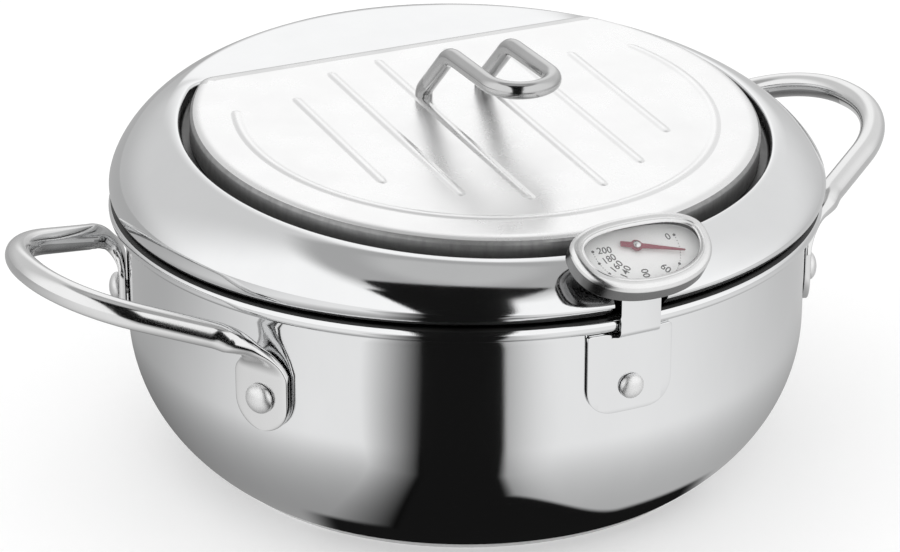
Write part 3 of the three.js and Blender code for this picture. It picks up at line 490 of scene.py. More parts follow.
# %% From the round dome to the D-shaped lip
lip_width, lip_top, lip_radius, blend_rings = 1.2, collar_top + 0.2, 1.1, 15
first_climb, flattening = 2.2, 0.8
for k in range(1, blend_rings):
    share = k / blend_rings
    rise = (first_climb * share - flattening * share ** 2) / (first_climb - flattening)
    height = dome_end_height + (lip_top - dome_end_height) * rise
    ring = []
    for angle, (x, y) in zip(ring_angles, mouth_outline(lip_width)):
        blend_x = dome_end * math.cos(angle) * (1 - share) + x * share
        blend_y = dome_end * math.sin(angle) * (1 - share) + y * share
        ring.append(sloped(blend_x, blend_y, height))
    rings.append(ring)
lip_centre = (lip_radius, lip_top - lip_radius)
rings += [mouth_ring(o, h) for o, h in arc(lip_centre, lip_radius, 84, 180, 12)]
print("rings down to the lip:", len(rings))

# %% [markdown]
# Inside the lip the sheet drops to a gutter, which leads dripping oil back to the pot, and
# runs on as the ledge that carries the lid. Its edge is turned down.

# %% Gutter and ledge
gutter_bend, ledge_width, ledge_drop = 1.4, 8.6, 2.6
rings += [mouth_ring(0, h) for h in (24.2, 23.4)]
rings += [mouth_ring(o, h) for o, h in
          arc((-gutter_bend, collar_floor + gutter_bend), gutter_bend, 0, -90, 6)]
rings += [mouth_ring(-r, collar_floor) for r in (4, 7, ledge_width)]
rings += [mouth_ring(-ledge_width - gutter_bend * math.sin(a),
                     collar_floor - gutter_bend + gutter_bend * math.cos(a))
          for a in (0.4, 0.8, 1.2, 1.57)]
rings += [mouth_ring(-ledge_width - gutter_bend, collar_floor - ledge_drop)]
collar = rolled("collar_sheet", rings)
modified(collar, "SOLIDIFY", thickness=collar_sheet * MM, offset=-1, use_even_offset=True)
print("collar:", triangle_count(collar), "triangles")

# %% [markdown]
# A notch in the front of the collar lets the bracket and the probe pass. It is cut with a
# block, as the solid is, so that both have it in the same place.

# %% Probe notch
strap_width, strap_gap, notch_margin, block_size = 14.4, 2.5, 1.7, 80
notch_back = -(mouth_radius + collar_sheet + mouth_shift) - collar_floor * math.sin(mouth_slope)
notch_back += collar_sheet / 2 - notch_margin + collar_sheet
block = added(bpy.ops.mesh.primitive_cube_add, size=1)
block.scale = ((strap_width + 2 * strap_gap) * MM, block_size * MM, block_size * MM)
block.location = (0, (notch_back - block_size / 2) * MM, rim_height * MM)
bpy.ops.object.transform_apply(location=True, rotation=False, scale=True)
cut(collar, block)
smooth(collar, 40)
placed(collar, "collar", mirror_steel, "splash_collar")

# %% [markdown]
# The gutter and the foot of the collar lie in deep shade, which is painted on them as darker
# steel than the dome's. The gutter's faces are found on the mouth's own plane, by undoing
# the slope.


# %% Painted shade in the gutter and at the foot
def mouth_place(point):
    """Where a point stands on the mouth's own plane, before the slope: across, back, up."""
    behind = point.y + mouth_shift
    up = (point.z - rim_height - behind * math.tan(mouth_slope)) * math.cos(mouth_slope)
    back = (behind + up * math.sin(mouth_slope)) / math.cos(mouth_slope)
    return point.x, back, up


lip_inside, lip_face, foot_face = 0.8, 0.9, 0.5


def in_gutter(point, normal):
    across, back, up = mouth_place(point)
    radius, straight = mouth_radius + lip_inside, mouth_straight + lip_inside
    inside_lip = math.hypot(across, back) < radius and back < straight
    return inside_lip and collar_floor - 3 < up < lip_top - lip_face


def at_foot(point, normal):
    return rim_height - foot_face < point.z < rim_height + foot_face


second_finish(collar, painted_gutter_shade, in_gutter)
second_finish(collar, painted_joint_shade, at_foot)

# %% [markdown]
# ## The lid
# The lid is a shallow pressed tray turned upside down, with raised ribs. It is skinned from
# D-shaped rings, its open side is the face that is taken away, and Solidify makes the sheet.
# An extra ring near the edge keeps the fold at the straight back crisp.

# %% Lid plate
lid_fit, lid_sheet, lid_edge, lid_shoulder = 3.6, 0.9, 2.4, 4.2
lid_bottom, lid_top, back_fold = collar_floor + 0.3, collar_top + 4.5, 1.8
rings = [mouth_ring(-lid_fit, h) for h in (lid_bottom, 23, 26)]
rings += [mouth_ring(-lid_fit - lid_shoulder + lid_shoulder * math.cos(math.radians(a)),
                     lid_top - lid_edge + lid_edge * math.sin(math.radians(a)))
          for a in range(0, 91, 10)]
rings.append(mouth_ring(-lid_fit - lid_shoulder - back_fold, lid_top))
lid_plate = closed_ends(rolled("lid_plate", rings))
edit_all(lid_plate)
bpy.ops.mesh.select_all(action="DESELECT")
bpy.ops.object.mode_set(mode="OBJECT")
end_faces = [f for f in lid_plate.data.polygons if len(f.vertices) > 50]
min(end_faces, key=lambda f: f.center.z).select = True
bpy.ops.object.mode_set(mode="EDIT")
bpy.ops.mesh.delete(type="ONLY_FACE")
bpy.ops.object.mode_set(mode="OBJECT")
modified(lid_plate, "SOLIDIFY", thickness=lid_sheet * MM, offset=-1, use_even_offset=True)
print("lid plate:", triangle_count(lid_plate), "triangles")

# %% [markdown]
# The ribs are pressed up from below to stiffen the lid. Six are straight, and one follows
# the round edge. Each is a long low hump that starts a little below the surface and is
# united with it; carving them from the plate's own faces would need a far finer plate.

# %% One rib
rib_half, rib_rise, rib_foot, rib_sink = 2.4, 0.55, 0.4, 0.04


def rib(path):
    """A long hump along a path: a rounded top over a flat foot, drawn in at both ends."""
    lengths = [0]
    for a, b in zip(path, path[1:]):
        lengths.append(lengths[-1] + math.dist(a, b))
    rings = []
    for k, (x, y) in enumerate(path):
        before, after = path[max(k - 1, 0)], path[min(k + 1, len(path) - 1)]
        run = Vector((after[0] - before[0], after[1] - before[1])).normalized()
        near = min(lengths[k], lengths[-1] - lengths[k]) / rib_half
        size = math.sqrt(1 - (1 - min(near, 1)) ** 2)
        ring = []
        for step in range(13):
            across = -1 + step / 6
            rise = rib_rise * size * size * (1 + math.cos(across * math.pi)) / 2
            ring.append((across * rib_half * size, rise - rib_sink))
        ring += [(side * rib_half * size * 0.8, -rib_foot) for side in (1, -1)]
        rings.append([sloped(x - run.y * d, y + run.x * d, lid_top + up) for d, up in ring])
    return closed_ends(rolled("rib", rings))


def even_path(points, middle):
    """Points along a line: close together near its ends, and evenly spaced between them."""
    start = [0.02, 0.12, 0.3, 0.6, 1.0, 1.6, 2.3, 3.0]
    total = sum(math.dist(a, b) for a, b in zip(points, points[1:]))
    marks = start + [3 + (total - 6) * k / middle for k in range(1, middle)]
    marks += [total - s for s in reversed(start)]
    line, walked, k = [], 0, 0
    for mark in marks:
        while walked + math.dist(points[k], points[k + 1]) < mark and k < len(points) - 2:
            walked += math.dist(points[k], points[k + 1])
            k += 1
        share = (mark - walked) / math.dist(points[k], points[k + 1])
        line.append(tuple(a + (b - a) * share for a, b in zip(points[k], points[k + 1])))
    return line


print("points along a straight rib:", len(even_path([(0, 0), (0, 100)], 6)))

# %% Seven ribs on the lid
straight_ribs = [(13.6, 52, 69), (33.6, 48, 58), (53.6, 33, 40)]
round_rib_radius = 82.5
ribs = [rib(even_path([(side * x, -front), (side * x, back)], 6))
        for x, back, front in straight_ribs for side in (-1, 1)]
ribs.append(rib(even_path(arc((0, 0), round_rib_radius, 158, 382, 160), 120)))
for hump in ribs:
    cut(lid_plate, hump, "UNION")
smooth(lid_plate, 14)
modified(lid_plate, "WEIGHTED_NORMAL", keep_sharp=True)
placed(lid_plate, "lid", lid_steel, "lid")

# %% [markdown]
# The skirt of the lid keeps the upright lines that the press draws in it, and is darker steel
# than the top as painted shade, for it stands in the gap. The fold along the straight back is
# ground dull. Both are second finishes on the same sheet.

# %% Pressed skirt with painted shade, and the fold along the straight back
lid_rim = lid_fit + lid_shoulder


def at_lid_edge(point, normal):
    across, back, up = mouth_place(point)
    tilt = normal.dot(Vector((0, -math.sin(mouth_slope), math.cos(mouth_slope))))
    return math.hypot(across, back) > mouth_radius - lid_rim and up > lid_bottom and tilt < 0.8


def at_lid_back(point, normal):
    across, back, up = mouth_place(point)
    return back > mouth_straight - lid_rim - back_fold and up > lid_bottom


second_finish(lid_plate, skirt_press_lines_and_painted_shade, at_lid_edge)
second_finish(lid_plate, matt_steel, at_lid_back)

# %% [markdown]
# ## Rods and wires
# A bent rod is a section carried along a path of straight runs and arcs. A curve object with
# a bevel could do it, but the handles change their section on the way, so the rings are
# placed in code. The path is drawn once, from its corners and bend radii.


# %% Paths with round bends
def bent_path(corners, radii, step=0.8):
    corners = [Vector(c) for c in corners]
    line = [corners[0]]
    for k in range(1, len(corners) - 1):
        back = (corners[k - 1] - corners[k]).normalized()
        ahead = (corners[k + 1] - corners[k]).normalized()
        half = back.angle(ahead) / 2
        reach = radii[k - 1] / math.tan(half)
        centre = corners[k] + (back + ahead).normalized() * (radii[k - 1] / math.sin(half))
        start = corners[k] + back * reach - centre
        end = corners[k] + ahead * reach - centre
        turn = start.angle(end)
        steps = max(6, int(turn * radii[k - 1] / step))
        for n in range(steps + 1):
            share = n / steps
            line.append(centre + (start * math.sin((1 - share) * turn)
                                  + end * math.sin(share * turn)) / math.sin(turn))
    line.append(corners[-1])
    return line


def stepped(line, marks):
    """The points and directions at given lengths along a line."""
    found, walked, k = [], 0, 0
    for mark in marks:
        while k < len(line) - 2 and walked + (line[k + 1] - line[k]).length < mark:
            walked += (line[k + 1] - line[k]).length
            k += 1
        run = line[k + 1] - line[k]
        found.append((line[k] + run * ((mark - walked) / run.length), run.normalized()))
    return found


def length_of(line):
    return sum((b - a).length for a, b in zip(line, line[1:]))


bend = bent_path([(0, 0, 0), (10, 0, 0), (10, 10, 0)], [5])
print("a square bend of 10 + 10 mm, rounded by 5 mm, is", round(length_of(bend), 2), "mm long")

# %% [markdown]
# ## The lid's wire handle
# One wire: two short feet welded to the lid, two legs that lean forward to a knee, and two
# arms joined by a round end. The section is a circle kept square to the path. The legs get a
# darker steel than the arms: a painted reflection of the lid and of each other.

# %% Lid handle
wire_radius, wire_half = 3.0, 11.5
foot_back, foot_rise, foot_height = 17.5, 2.8, lid_top
knee_back, knee_height = -1, lid_top + 23.4
wire_reach, wire_rise = 41.0, 2.1
sides, stations = 28, 150
arm = [(-wire_half, foot_back, foot_height), (-wire_half, foot_back, foot_height + foot_rise),
       (-wire_half, knee_back, knee_height), (-wire_half, -wire_reach, knee_height + wire_rise)]
corners = arm + [(-x, y, z) for x, y, z in reversed(arm)]
line = bent_path(corners, [4, 10, 11.3, 11.3, 10, 4])
total = length_of(line)
marks = [total * k / stations for k in range(stations + 1)]
rings, side = [], Vector((1, 0, 0))
for point, run in stepped(line, marks):
    side = (side - run * side.dot(run)).normalized()
    other = run.cross(side)
    rings.append([sloped(*(point + wire_radius * (side * math.cos(a) + other * math.sin(a))))
                  for a in (2 * math.pi * k / sides for k in range(sides))])
wire = smooth(closed_ends(rolled("lid_wire", rings)), 40)
placed(wire, "lid", wire_steel, "lid_handle")


leg_start = 4


def on_legs(point, normal):
    return point.y > leg_start


second_finish(wire, painted_dark_reflection, on_legs)
print("length of the wire:", round(total, 1), "mm")

# %% [markdown]
# ## The side handles
# Each side handle is one rod whose ends are pressed flat into tabs. The path is the rod's
# wall side; the section stands out from it by half its own thickness, and changes from a
# flat rounded bar to a circle just above the tab. A separate tab joined to a round rod would
# show a seam that a pressed rod does not have.

# %% Path of a side handle
rod_radius, tab_width, tab_sheet = 4.5, 21, 2.6
tab_bottom, tab_top, rivet_height = 49.5, 70.5, 61.3
wall_gap, handle_half_angle, handle_turn = 0.3, 26, 4.2
handle_reach, handle_half_span, handle_rise = 165.5, 27, math.radians(17.5)
elbow_height, elbow_lean = 88.3, 2.4
tab_azimuth = math.radians(180 + handle_half_angle)


def wall_point(height, lean=0):
    radius = wall_radius + wall_gap + lean
    return Vector((radius * math.cos(tab_azimuth), radius * math.sin(tab_azimuth), height))


def loop_height(x):
    return elbow_height + (-x - wall_radius) * math.tan(handle_rise)


elbow = wall_point(0, elbow_lean)
elbow.z = loop_height(elbow.x)
front = [wall_point(tab_bottom), wall_point(tab_top), elbow,
         Vector((-handle_reach, -handle_half_span, loop_height(-handle_reach)))]
corners = front + [Vector((c.x, -c.y, c.z)) for c in reversed(front)]
line = bent_path(corners, [12, 20, 40, 40, 20, 12])
total = length_of(line)
tip_marks = [0.03, 0.15, 0.4, 0.8, 1.4, 2.2, 3.2, 4.4, 5.8, 7.4, 9.0, 10.5]
marks = tip_marks + [10.5 + (total - 21) * k / 230 for k in range(1, 230)]
marks += [total - m for m in reversed(tip_marks)]
print("length of the rod:", round(total, 1), "mm")

# %% [markdown]
# Flat tab and round rod are two ends of one formula: a circle whose sines and cosines are
# raised to a power below 1 fills out to a rounded bar. Width, depth and power all fade from
# the tab's values to the rod's along the path.


# %% Section of a side handle
def filled_out(value, power):
    return math.copysign(abs(value) ** power, value)


def fading(near, start, length):
    """1 up to a start, 0 past its length, and a soft change between."""
    share = min(max((near - start) / length, 0), 1)
    return 1 - share * share * (3 - 2 * share)


foot_point = wall_point(tab_bottom)
tangents_meet = foot_point.x + foot_point.y / math.cos(tab_azimuth) * math.sin(tab_azimuth)
tab_length, section_points = tab_top - tab_bottom, 40
rings = []
for mark, (point, run) in zip(marks, stepped(line, marks)):
    inward = Vector((tangents_meet - point.x, -point.y, 0))
    inward = (inward - run * inward.dot(run)).normalized()
    outward = run.cross(inward).normalized()
    near = min(mark, total - mark)
    flat = fading(near, tab_length * 0.92, tab_length * 0.65)
    thin = fading(near, tab_length * 1.05, tab_length * 0.95)
    tip = math.sqrt(1 - (1 - min(near / (tab_width / 2), 1)) ** 2)
    half_width = (rod_radius + (tab_width / 2 - rod_radius) * flat) * tip
    half_depth = rod_radius + (tab_sheet / 2 - rod_radius) * thin
    power = 2 / (2 + 5 * flat)
    centre = point + outward * half_depth
    ring = []
    for k in range(section_points):
        a = 2 * math.pi * (k + 0.5) / section_points
        ring.append(centre + inward * half_width * filled_out(math.cos(a), power)
                    + outward * half_depth * filled_out(math.sin(a), power))
    rings.append(ring)
left = closed_ends(rolled("bent_rod", rings))
print("rings of the rod:", len(rings))

# %% [markdown]
# The right handle is the left one turned half round, and both are turned 4.2 degrees with
# their rivets. The underside of the far run of each loop gets the same darker steel: a painted
# reflection of the dark wall behind it.

# %% Two side handles
rear_start, clear_of_wall = 12, 126


def under_rear_run(point, normal):
    outside = math.hypot(point.x, point.y) > clear_of_wall
    return point.y > rear_start and outside and normal.z < -0.05


for node, turn in [("handle_left", handle_turn), ("handle_right", handle_turn + 180)]:
    piece = left.copy()
    piece.data = left.data.copy()
    named(piece, node + "_rod")
    bpy.context.collection.objects.link(piece)
    piece.data.transform(Matrix.Rotation(math.radians(turn), 4, "Z"))
    smooth(piece, 40)
    placed(piece, "pot", rod_steel, node)
    second_finish(piece, painted_dark_reflection, under_rear_run)
bpy.data.objects.remove(left)

# %% [markdown]
# ## Rivets
# A rivet is turned: a domed head outside, a shank through tab and wall, and a flat head
# inside, all in one piece. It could be a sphere cut in half on the tab, but the inner head
# shows when the collar is off. It is turned upright, then laid along the pot's radius.

# %% Rivets
inner_face = inner_wall - 0.6
bracket_sheet, plate_rivet_height = 1.2, 69


def rivet(name, head, rise, shank, seat, azimuth, height, node):
    inner_head = shank + 2
    profile = [(0, inner_face - 1.2), (inner_head - 0.6, inner_face - 1.2),
               (inner_head - 0.1, inner_face - 0.9), (inner_head, inner_face - 0.5),
               (inner_head, inner_face), (shank, inner_face), (shank, seat),
               (head - 0.2, seat), (head, seat + 0.2)]
    profile += [(head * math.cos(math.radians(a)), seat + 0.4 + rise * math.sin(math.radians(a)))
                for a in range(0, 90, 9)]
    profile += [(0, seat + 0.4 + rise)]
    piece = turned(name, profile, 48)
    lay = Matrix.Rotation(math.radians(90), 4, "Y")
    aim = Matrix.Rotation(math.radians(azimuth), 4, "Z")
    piece.data.transform(Matrix.Translation((0, 0, height * MM)) @ aim @ lay)
    return placed(smooth(piece, 30), "pot", rivet_head_steel, node)


tab_seat = wall_radius + wall_gap + tab_sheet + 0.3
for place, azimuth in [("left_front", 180 + handle_turn + handle_half_angle),
                       ("left_rear", 180 + handle_turn - handle_half_angle),
                       ("right_rear", handle_turn + handle_half_angle),
                       ("right_front", handle_turn - handle_half_angle)]:
    rivet("rivet_" + place, 5.2, 2.9, 2.6, tab_seat, azimuth, rivet_height,
          "handle_rivet_" + place)
plate_seat = wall_radius + 2 * wall_gap + bracket_sheet
rivet("rivet_bracket", 4.3, 2.4, 2.1, plate_seat, -90, plate_rivet_height, "bracket_rivet")

# %% [markdown]
# ## The thermometer's bracket
# A riveted plate lies on the wall, and a narrower strap steps out over the curled rim,
# rises, and leans back under the thermometer's case. The plate is an outline that is
# extruded to a slab, cut into strips and wrapped round the wall. Everything on the
# thermometer is leaned back round one pivot, in the middle of the dial.

# %% Thermometer's place
dial_turn = math.radians(34)
pivot = Vector((0, -121.7, 117.9))
case_floor_depth = 5.0


def dial_point(up, out):
    return (pivot.y + up * math.cos(dial_turn) - out * math.sin(dial_turn),
            pivot.z + up * math.sin(dial_turn) + out * math.cos(dial_turn))


print("middle of the dial:", [round(c, 1) for c in dial_point(0, 0)])

# %% Bracket plate as a flat slab
plate_half, plate_low, plate_high = 15.5, 60, 88.4
lower_corner, upper_corner = 9, 1.5
plate_outline = []
for side, corner, height, start in [(-1, lower_corner, plate_low + lower_corner, 180),
                                    (1, lower_corner, plate_low + lower_corner, 270),
                                    (1, upper_corner, plate_high - upper_corner, 0),
                                    (-1, upper_corner, plate_high - upper_corner, 90)]:
    steps = 10 if corner == lower_corner else 4
    centre = (side * (plate_half - corner), height)
    plate_outline += arc(centre, corner, start, start + 90, steps)


def plate_ring(depth, inset):
    scale_x = (plate_half - inset) / plate_half
    scale_z = 1 - 2 * inset / (plate_high - plate_low)
    mid = (plate_low + plate_high) / 2
    return [(x * scale_x, depth, mid + (z - mid) * scale_z) for x, z in plate_outline]


plate = closed_ends(rolled("bracket_plate", [
    plate_ring(0, 0), plate_ring(bracket_sheet - 0.3, 0),
    plate_ring(bracket_sheet - 0.09, 0.09), plate_ring(bracket_sheet, 0.3)]))
print("slab:", triangle_count(plate), "triangles")

# %% Bracket plate, cut into strips and wrapped
columns = 48
edit_all(plate)
for k in range(1, columns):
    bpy.ops.mesh.select_all(action="SELECT")
    x = (-plate_half + 2 * plate_half * k / columns) * MM
    bpy.ops.mesh.bisect(plane_co=(x, 0, 0), plane_no=(1, 0, 0))
for height in (62, 70, 78, 84, 86, 86.4):
    bpy.ops.mesh.select_all(action="SELECT")
    bpy.ops.mesh.bisect(plane_co=(0, 0, height * MM), plane_no=(0, 0, 1))
bpy.ops.object.mode_set(mode="OBJECT")
for vertex in plate.data.vertices:
    x, depth, z = vertex.co / MM
    radius, turn = wall_radius + wall_gap + depth, x / wall_radius
    vertex.co = Vector((radius * math.sin(turn), -radius * math.cos(turn), z)) * MM
print("wrapped plate:", triangle_count(plate), "triangles")

# %% [markdown]
# The strap is a flat bar, bent three times: out over the rim, up, and back. Its side line is
# drawn as a path, and each station of the path becomes a ring of four corners. A hole in its
# upper end takes the thermometer's bush, and a boolean joins it to the plate.

# %% Bracket strap
strap_y, wall_y = -(wall_radius + bead_reach + 0.8), -(wall_radius + wall_gap)
case_back = -(case_floor_depth + 0.3 + bracket_sheet)
strap_root, strap_step, strap_clear, strap_end, bush_hole = 86.7, 87.9, 90.3, 6, 4.3
lean_up = (strap_y - dial_point(0, case_back)[0]) / math.cos(dial_turn)
top_z = dial_point(lean_up, case_back)[1]
end_y, end_z = dial_point(strap_end, case_back)
side_line = bent_path([(0, wall_y, strap_root), (0, wall_y, strap_step),
                       (0, strap_y, strap_clear), (0, strap_y, top_z), (0, end_y, end_z)],
                      [1.6, 2.2, 4.0], 0.3)
half, rings = strap_width / 2, []
for k, near in enumerate(side_line):
    before, after = side_line[max(k - 1, 0)], side_line[min(k + 1, len(side_line) - 1)]
    run = (after - before).normalized()
    far = near + Vector((0, -run.z, run.y)) * bracket_sheet
    corners = ((-half, near), (half, near), (half, far), (-half, far))
    rings.append([(x, p.y, p.z) for x, p in corners])
strap = closed_ends(rolled("bracket_strap", rings))
modified(strap, "BEVEL", width=0.25 * MM, segments=2, limit_method="ANGLE",
         angle_limit=math.radians(50))
hole = added(bpy.ops.mesh.primitive_cylinder_add, vertices=64, radius=bush_hole * MM, depth=30 * MM)
hole.data.transform(Matrix.Translation(pivot * MM) @ Matrix.Rotation(dial_turn, 4, "X"))
cut(strap, hole)
cut(plate, strap, "UNION")
placed(smooth(plate, 30), "pot", mirror_steel, "thermometer_bracket")

# %% [markdown]
# ## The thermometer's case and bezel
# The dial is wider than it is tall and flatter at the top, so every ring of the case is the
# same rounded outline, grown or shrunk. The case is a cup with a rounded underside; the
# bezel is a ring with a round shoulder and a fine groove. Everything is built flat, with the
# dial facing up, and then leaned back into its place: drawing it leaned would hide its sizes.

# %% Case outline
case_half, case_upper, case_lower, case_middle = 23.6, 10.7, 16.0, -2.0
outline_points = 160


def case_outline(offset):
    line = []
    for k in range(outline_points):
        a = 2 * math.pi * k / outline_points
        c, s = math.cos(a), math.sin(a)
        power = 1 / 1.3 if s >= 0 else 1 / 1.1
        reach = (case_upper if s >= 0 else case_lower) + offset
        line.append(((case_half + offset) * filled_out(c, power),
                     case_middle + reach * filled_out(s, power)))
    return line


def case_ring(offset, height):
    return [(x, y, height) for x, y in case_outline(offset)]


def leaned(piece):
    lean = Matrix.Translation(pivot * MM) @ Matrix.Rotation(dial_turn, 4, "X")
    piece.data.transform(lean)
    return piece


print("case:", 2 * case_half, "by", case_upper + case_lower, "mm")

# %% Thermometer case
under = [(-4.2, -case_floor_depth)] + arc((-3.0, -2.0), 3.0, -75, 0, 12)
profile = under + [(0, 0), (0, 2.1), (-0.15, 2.4), (-0.8, 2.4), (-0.8, -0.9), (-2.2, -0.9),
                   (-2.2, -4.2)]
case = closed_ends(rolled("thermometer_cup", [case_ring(o, h) for o, h in profile]))
bore = added(bpy.ops.mesh.primitive_cylinder_add, vertices=48, radius=2.3 * MM, depth=8 * MM,
             location=(0, 0, -case_floor_depth * MM))
bpy.ops.object.transform_apply(location=True, rotation=False, scale=False)
cut(case, bore)
placed(leaned(smooth(case, 35)), "thermometer", case_steel, "thermometer_case")

# %% [markdown]
# The bezel is rolled over the edge of the cup and holds the lens. Its face is polished, and
# its side, in the shade of its own shoulder, gets the darker case steel as painted shade.

# %% Bezel ring, with painted shade at its side
profile = [(0.3, -2.0), (0.7, -2.0), (0.9, -1.8), (0.9, 1.0)] + arc((-1.3, 2.8), 2.2, 0, 88, 12)
profile += [(-2.0, 5.0), (-2.2, 4.8), (-2.45, 4.8), (-2.65, 4.98), (-3.2, 4.9), (-3.5, 4.6),
            (-3.5, 4.25), (-1.3, 4.25), (-0.9, 4.2), (0.3, 3.4)]
rings = [case_ring(o, h) for o, h in profile + [profile[0]]]
bezel = smooth(rolled("bezel_band", rings), 32)
placed(leaned(bezel), "thermometer", bezel_steel, "bezel_ring")


def on_side(point, normal):
    dial_up = Vector((0, -math.sin(dial_turn), math.cos(dial_turn)))
    return (point - pivot).dot(dial_up) < 2.6 and normal.dot(dial_up) < 0.7


second_finish(bezel, case_steel, on_side)

# %% [markdown]
# ## The lens
# A slightly crowned cover that sits under the bezel's inner edge. Its rings shrink to the
# middle, and each stands a little higher, so that it catches one soft highlight.


# %% Lens
def crowned_ring(share, height):
    return [(x * share, case_middle + (y - case_middle) * share, height)
            for x, y in case_outline(-0.4)]


lens_top, crown = 3.75, 0.45
rings = [case_ring(o, h) for o, h in [(-0.2, 2.7), (0, 2.85), (0, 3.45), (-0.4, lens_top)]]
rings += [crowned_ring(s, lens_top + crown * (1 - s * s))
          for s in (0.96, 0.9, 0.8, 0.65, 0.45, 0.22, 0)]
lens = smooth(closed_ends(rolled("lens_crown", rings)), 40)
placed(leaned(lens), "thermometer", lens_glass, "dial_lens")

# %% [markdown]
# ## Dial, scale and pointer
# The dial plate is a thin enamelled sheet. Its scale is real geometry, a few hundredths of a
# millimetre thick like printed ink: dots every 20 degrees and a number beside some of them,
# written along the radius so that they read from left to right. A picture of a scale would
# blur when it is looked at closely.

# %% Dial plate
profile = [(-1.1, -0.6), (-1.1, -0.1), (-1.2, 0.0)]
dial = closed_ends(rolled("dial_disc", [case_ring(o, h) for o, h in profile]))
cut(dial, added(bpy.ops.mesh.primitive_cylinder_add, vertices=32, radius=0.9 * MM, depth=4 * MM))
placed(leaned(smooth(dial, 30)), "thermometer", dial_enamel, "dial_plate")

# %% Dots and numbers
scale_angles = {0: 7, 20: -15, 40: -37, 60: -56, 80: -75, 100: -94, 120: -113, 140: -131,
                160: -149, 180: -167, 200: -185}
numbers_shown = (0, 60, 100, 140, 160, 180, 200)
dot_circle, number_circle, ink, number_size = 15.0, 13.5, 0.04, 3.4
large_dot, small_dot = 0.5, 0.16
marks_made = []


def dot(angle, size):
    a = math.radians(angle)
    added(bpy.ops.mesh.primitive_cylinder_add, vertices=20, radius=size * MM, depth=ink * MM,
          location=(dot_circle * math.cos(a) * MM, dot_circle * math.sin(a) * MM, ink / 2 * MM))
    bpy.ops.object.transform_apply(location=True, rotation=False, scale=False)
    marks_made.append(bpy.context.object)


def number(value, angle):
    text = added(bpy.ops.object.text_add)
    reads_out = math.cos(math.radians(angle)) > 0
    text.data.body = str(value)
    text.data.size = number_size * MM
    text.data.offset = 0.03 * MM
    text.data.extrude = ink / 2 * MM
    text.data.align_x = "RIGHT" if reads_out else "LEFT"
    text.data.align_y = "CENTER"
    bpy.ops.object.convert(target="MESH")
    text = bpy.context.object
    shift = number_circle if reads_out else -number_circle
    turn = Matrix.Rotation(math.radians(angle if reads_out else angle + 180), 4, "Z")
    text.data.transform(turn @ Matrix.Translation((shift * MM, 0, ink / 2 * MM)))
    marks_made.append(cleaned(text))


for value, angle in scale_angles.items():
    dot(angle, large_dot)
    if value in numbers_shown:
        number(value, angle)
angles = list(scale_angles.values())
for first, second in zip(angles, angles[1:]):
    for k in range(1, 5):
        dot(first + (second - first) * k / 5, small_dot)
print("marks on the dial:", len(marks_made))

# %% One scale from all the marks
bpy.ops.object.select_all(action="DESELECT")
for mark in marks_made:
    mark.select_set(True)
bpy.context.view_layer.objects.active = marks_made[0]
bpy.ops.object.join()
scale = leaned(named(bpy.context.object, "dial_scale"))
above_plate = Matrix.Rotation(dial_turn, 3, "X") @ Vector((0, 0, 0.01 * MM))
scale.data.transform(Matrix.Translation(above_plate))
placed(scale, "thermometer", dial_ink)

# %% [markdown]
# The pointer is a thin tapered blade with a boss, held on its arbor by a small cap. It is
# drawn along X, where its sizes are easy to read, and then turned to the photograph's
# reading of about 23 degrees.

# %% Pointer and hub
pointer_angle = math.radians(-18)
blade_low, blade_high, blade_length, blade_half, tail_length = 1.0, 1.4, 16.2, 1.0, 4.8
upper_edge_line = [(blade_length + 0.2, 0), (blade_length, 0.3), (0, blade_half),
                   (-tail_length, blade_half), (-tail_length - 0.6, 0.9), (-tail_length - 0.7, 0)]
lower_edge_line = [(x, -y) for x, y in reversed(upper_edge_line[1:-1])]
blade_outline = lower_edge_line + upper_edge_line
blade = closed_ends(rolled("pointer_blade", [[(x, y, h) for x, y in blade_outline]
                                             for h in (blade_low, blade_high)]))
modified(blade, "BEVEL", width=0.08 * MM, segments=2, limit_method="ANGLE",
         angle_limit=math.radians(60))
boss = turned("boss", [(0, 0.75), (1.9, 0.75), (2.0, 0.85), (2.0, 1.35), (1.9, 1.45),
                       (0, 1.45)], 40)
cut(blade, boss, "UNION")
blade.data.transform(Matrix.Rotation(pointer_angle, 4, "Z"))
placed(leaned(smooth(blade, 30)), "pointer", pointer_red, "pointer")
hub = turned("pointer_cap", [(0, 1.5), (1.3, 1.5)] + arc((1.0, 1.8), 0.3, 0, 60, 4)
             + [(0.7, 2.25), (0.3, 2.36), (0, 2.38)], 40)
placed(leaned(smooth(hub, 50)), "pointer", bezel_steel, "pointer_hub")

# %% [markdown]
# ## Below the dial
# These pieces show when the thermometer is drawn out of the pot: the bush that stands in
# the bracket, and the thin tube with its rounded plug. They are turned, so they are spun.

# %% Probe
stem_length, tube_radius, tube_bore, bush_low, bush_high = 112, 2.5, 2.0, -10.7, -5.3
bush = turned("probe_collar", [(2.8, bush_low), (3.2, bush_low), (4.0, -9.9), (4.0, -5.5),
                               (3.8, bush_high), (2.8, bush_high), (2.8, bush_low)], 64)
placed(leaned(smooth(bush, 30)), "thermometer", matt_steel, "probe_bush")
tube = turned("probe_stem", [(tube_bore, -stem_length), (2.4, -stem_length),
                             (tube_radius, -stem_length + 0.1), (tube_radius, -5.4),
                             (2.4, bush_high), (tube_bore, bush_high),
                             (tube_bore, -stem_length)], 64)
placed(leaned(smooth(tube, 30)), "thermometer", matt_steel, "probe_tube")
tip = [(0, -stem_length - 4)]
tip += [(tube_radius * math.sin(math.radians(a)),
         -stem_length - 1.6 - 2.4 * math.cos(math.radians(a))) for a in range(10, 91, 10)]
tip += [(tube_radius, -stem_length - 0.3), (1.7, -stem_length - 0.3), (1.7, -stem_length + 2.4),
        (0, -stem_length + 2.4)]
placed(leaned(smooth(turned("probe_end", tip, 48), 30)), "thermometer", matt_steel, "probe_plug")

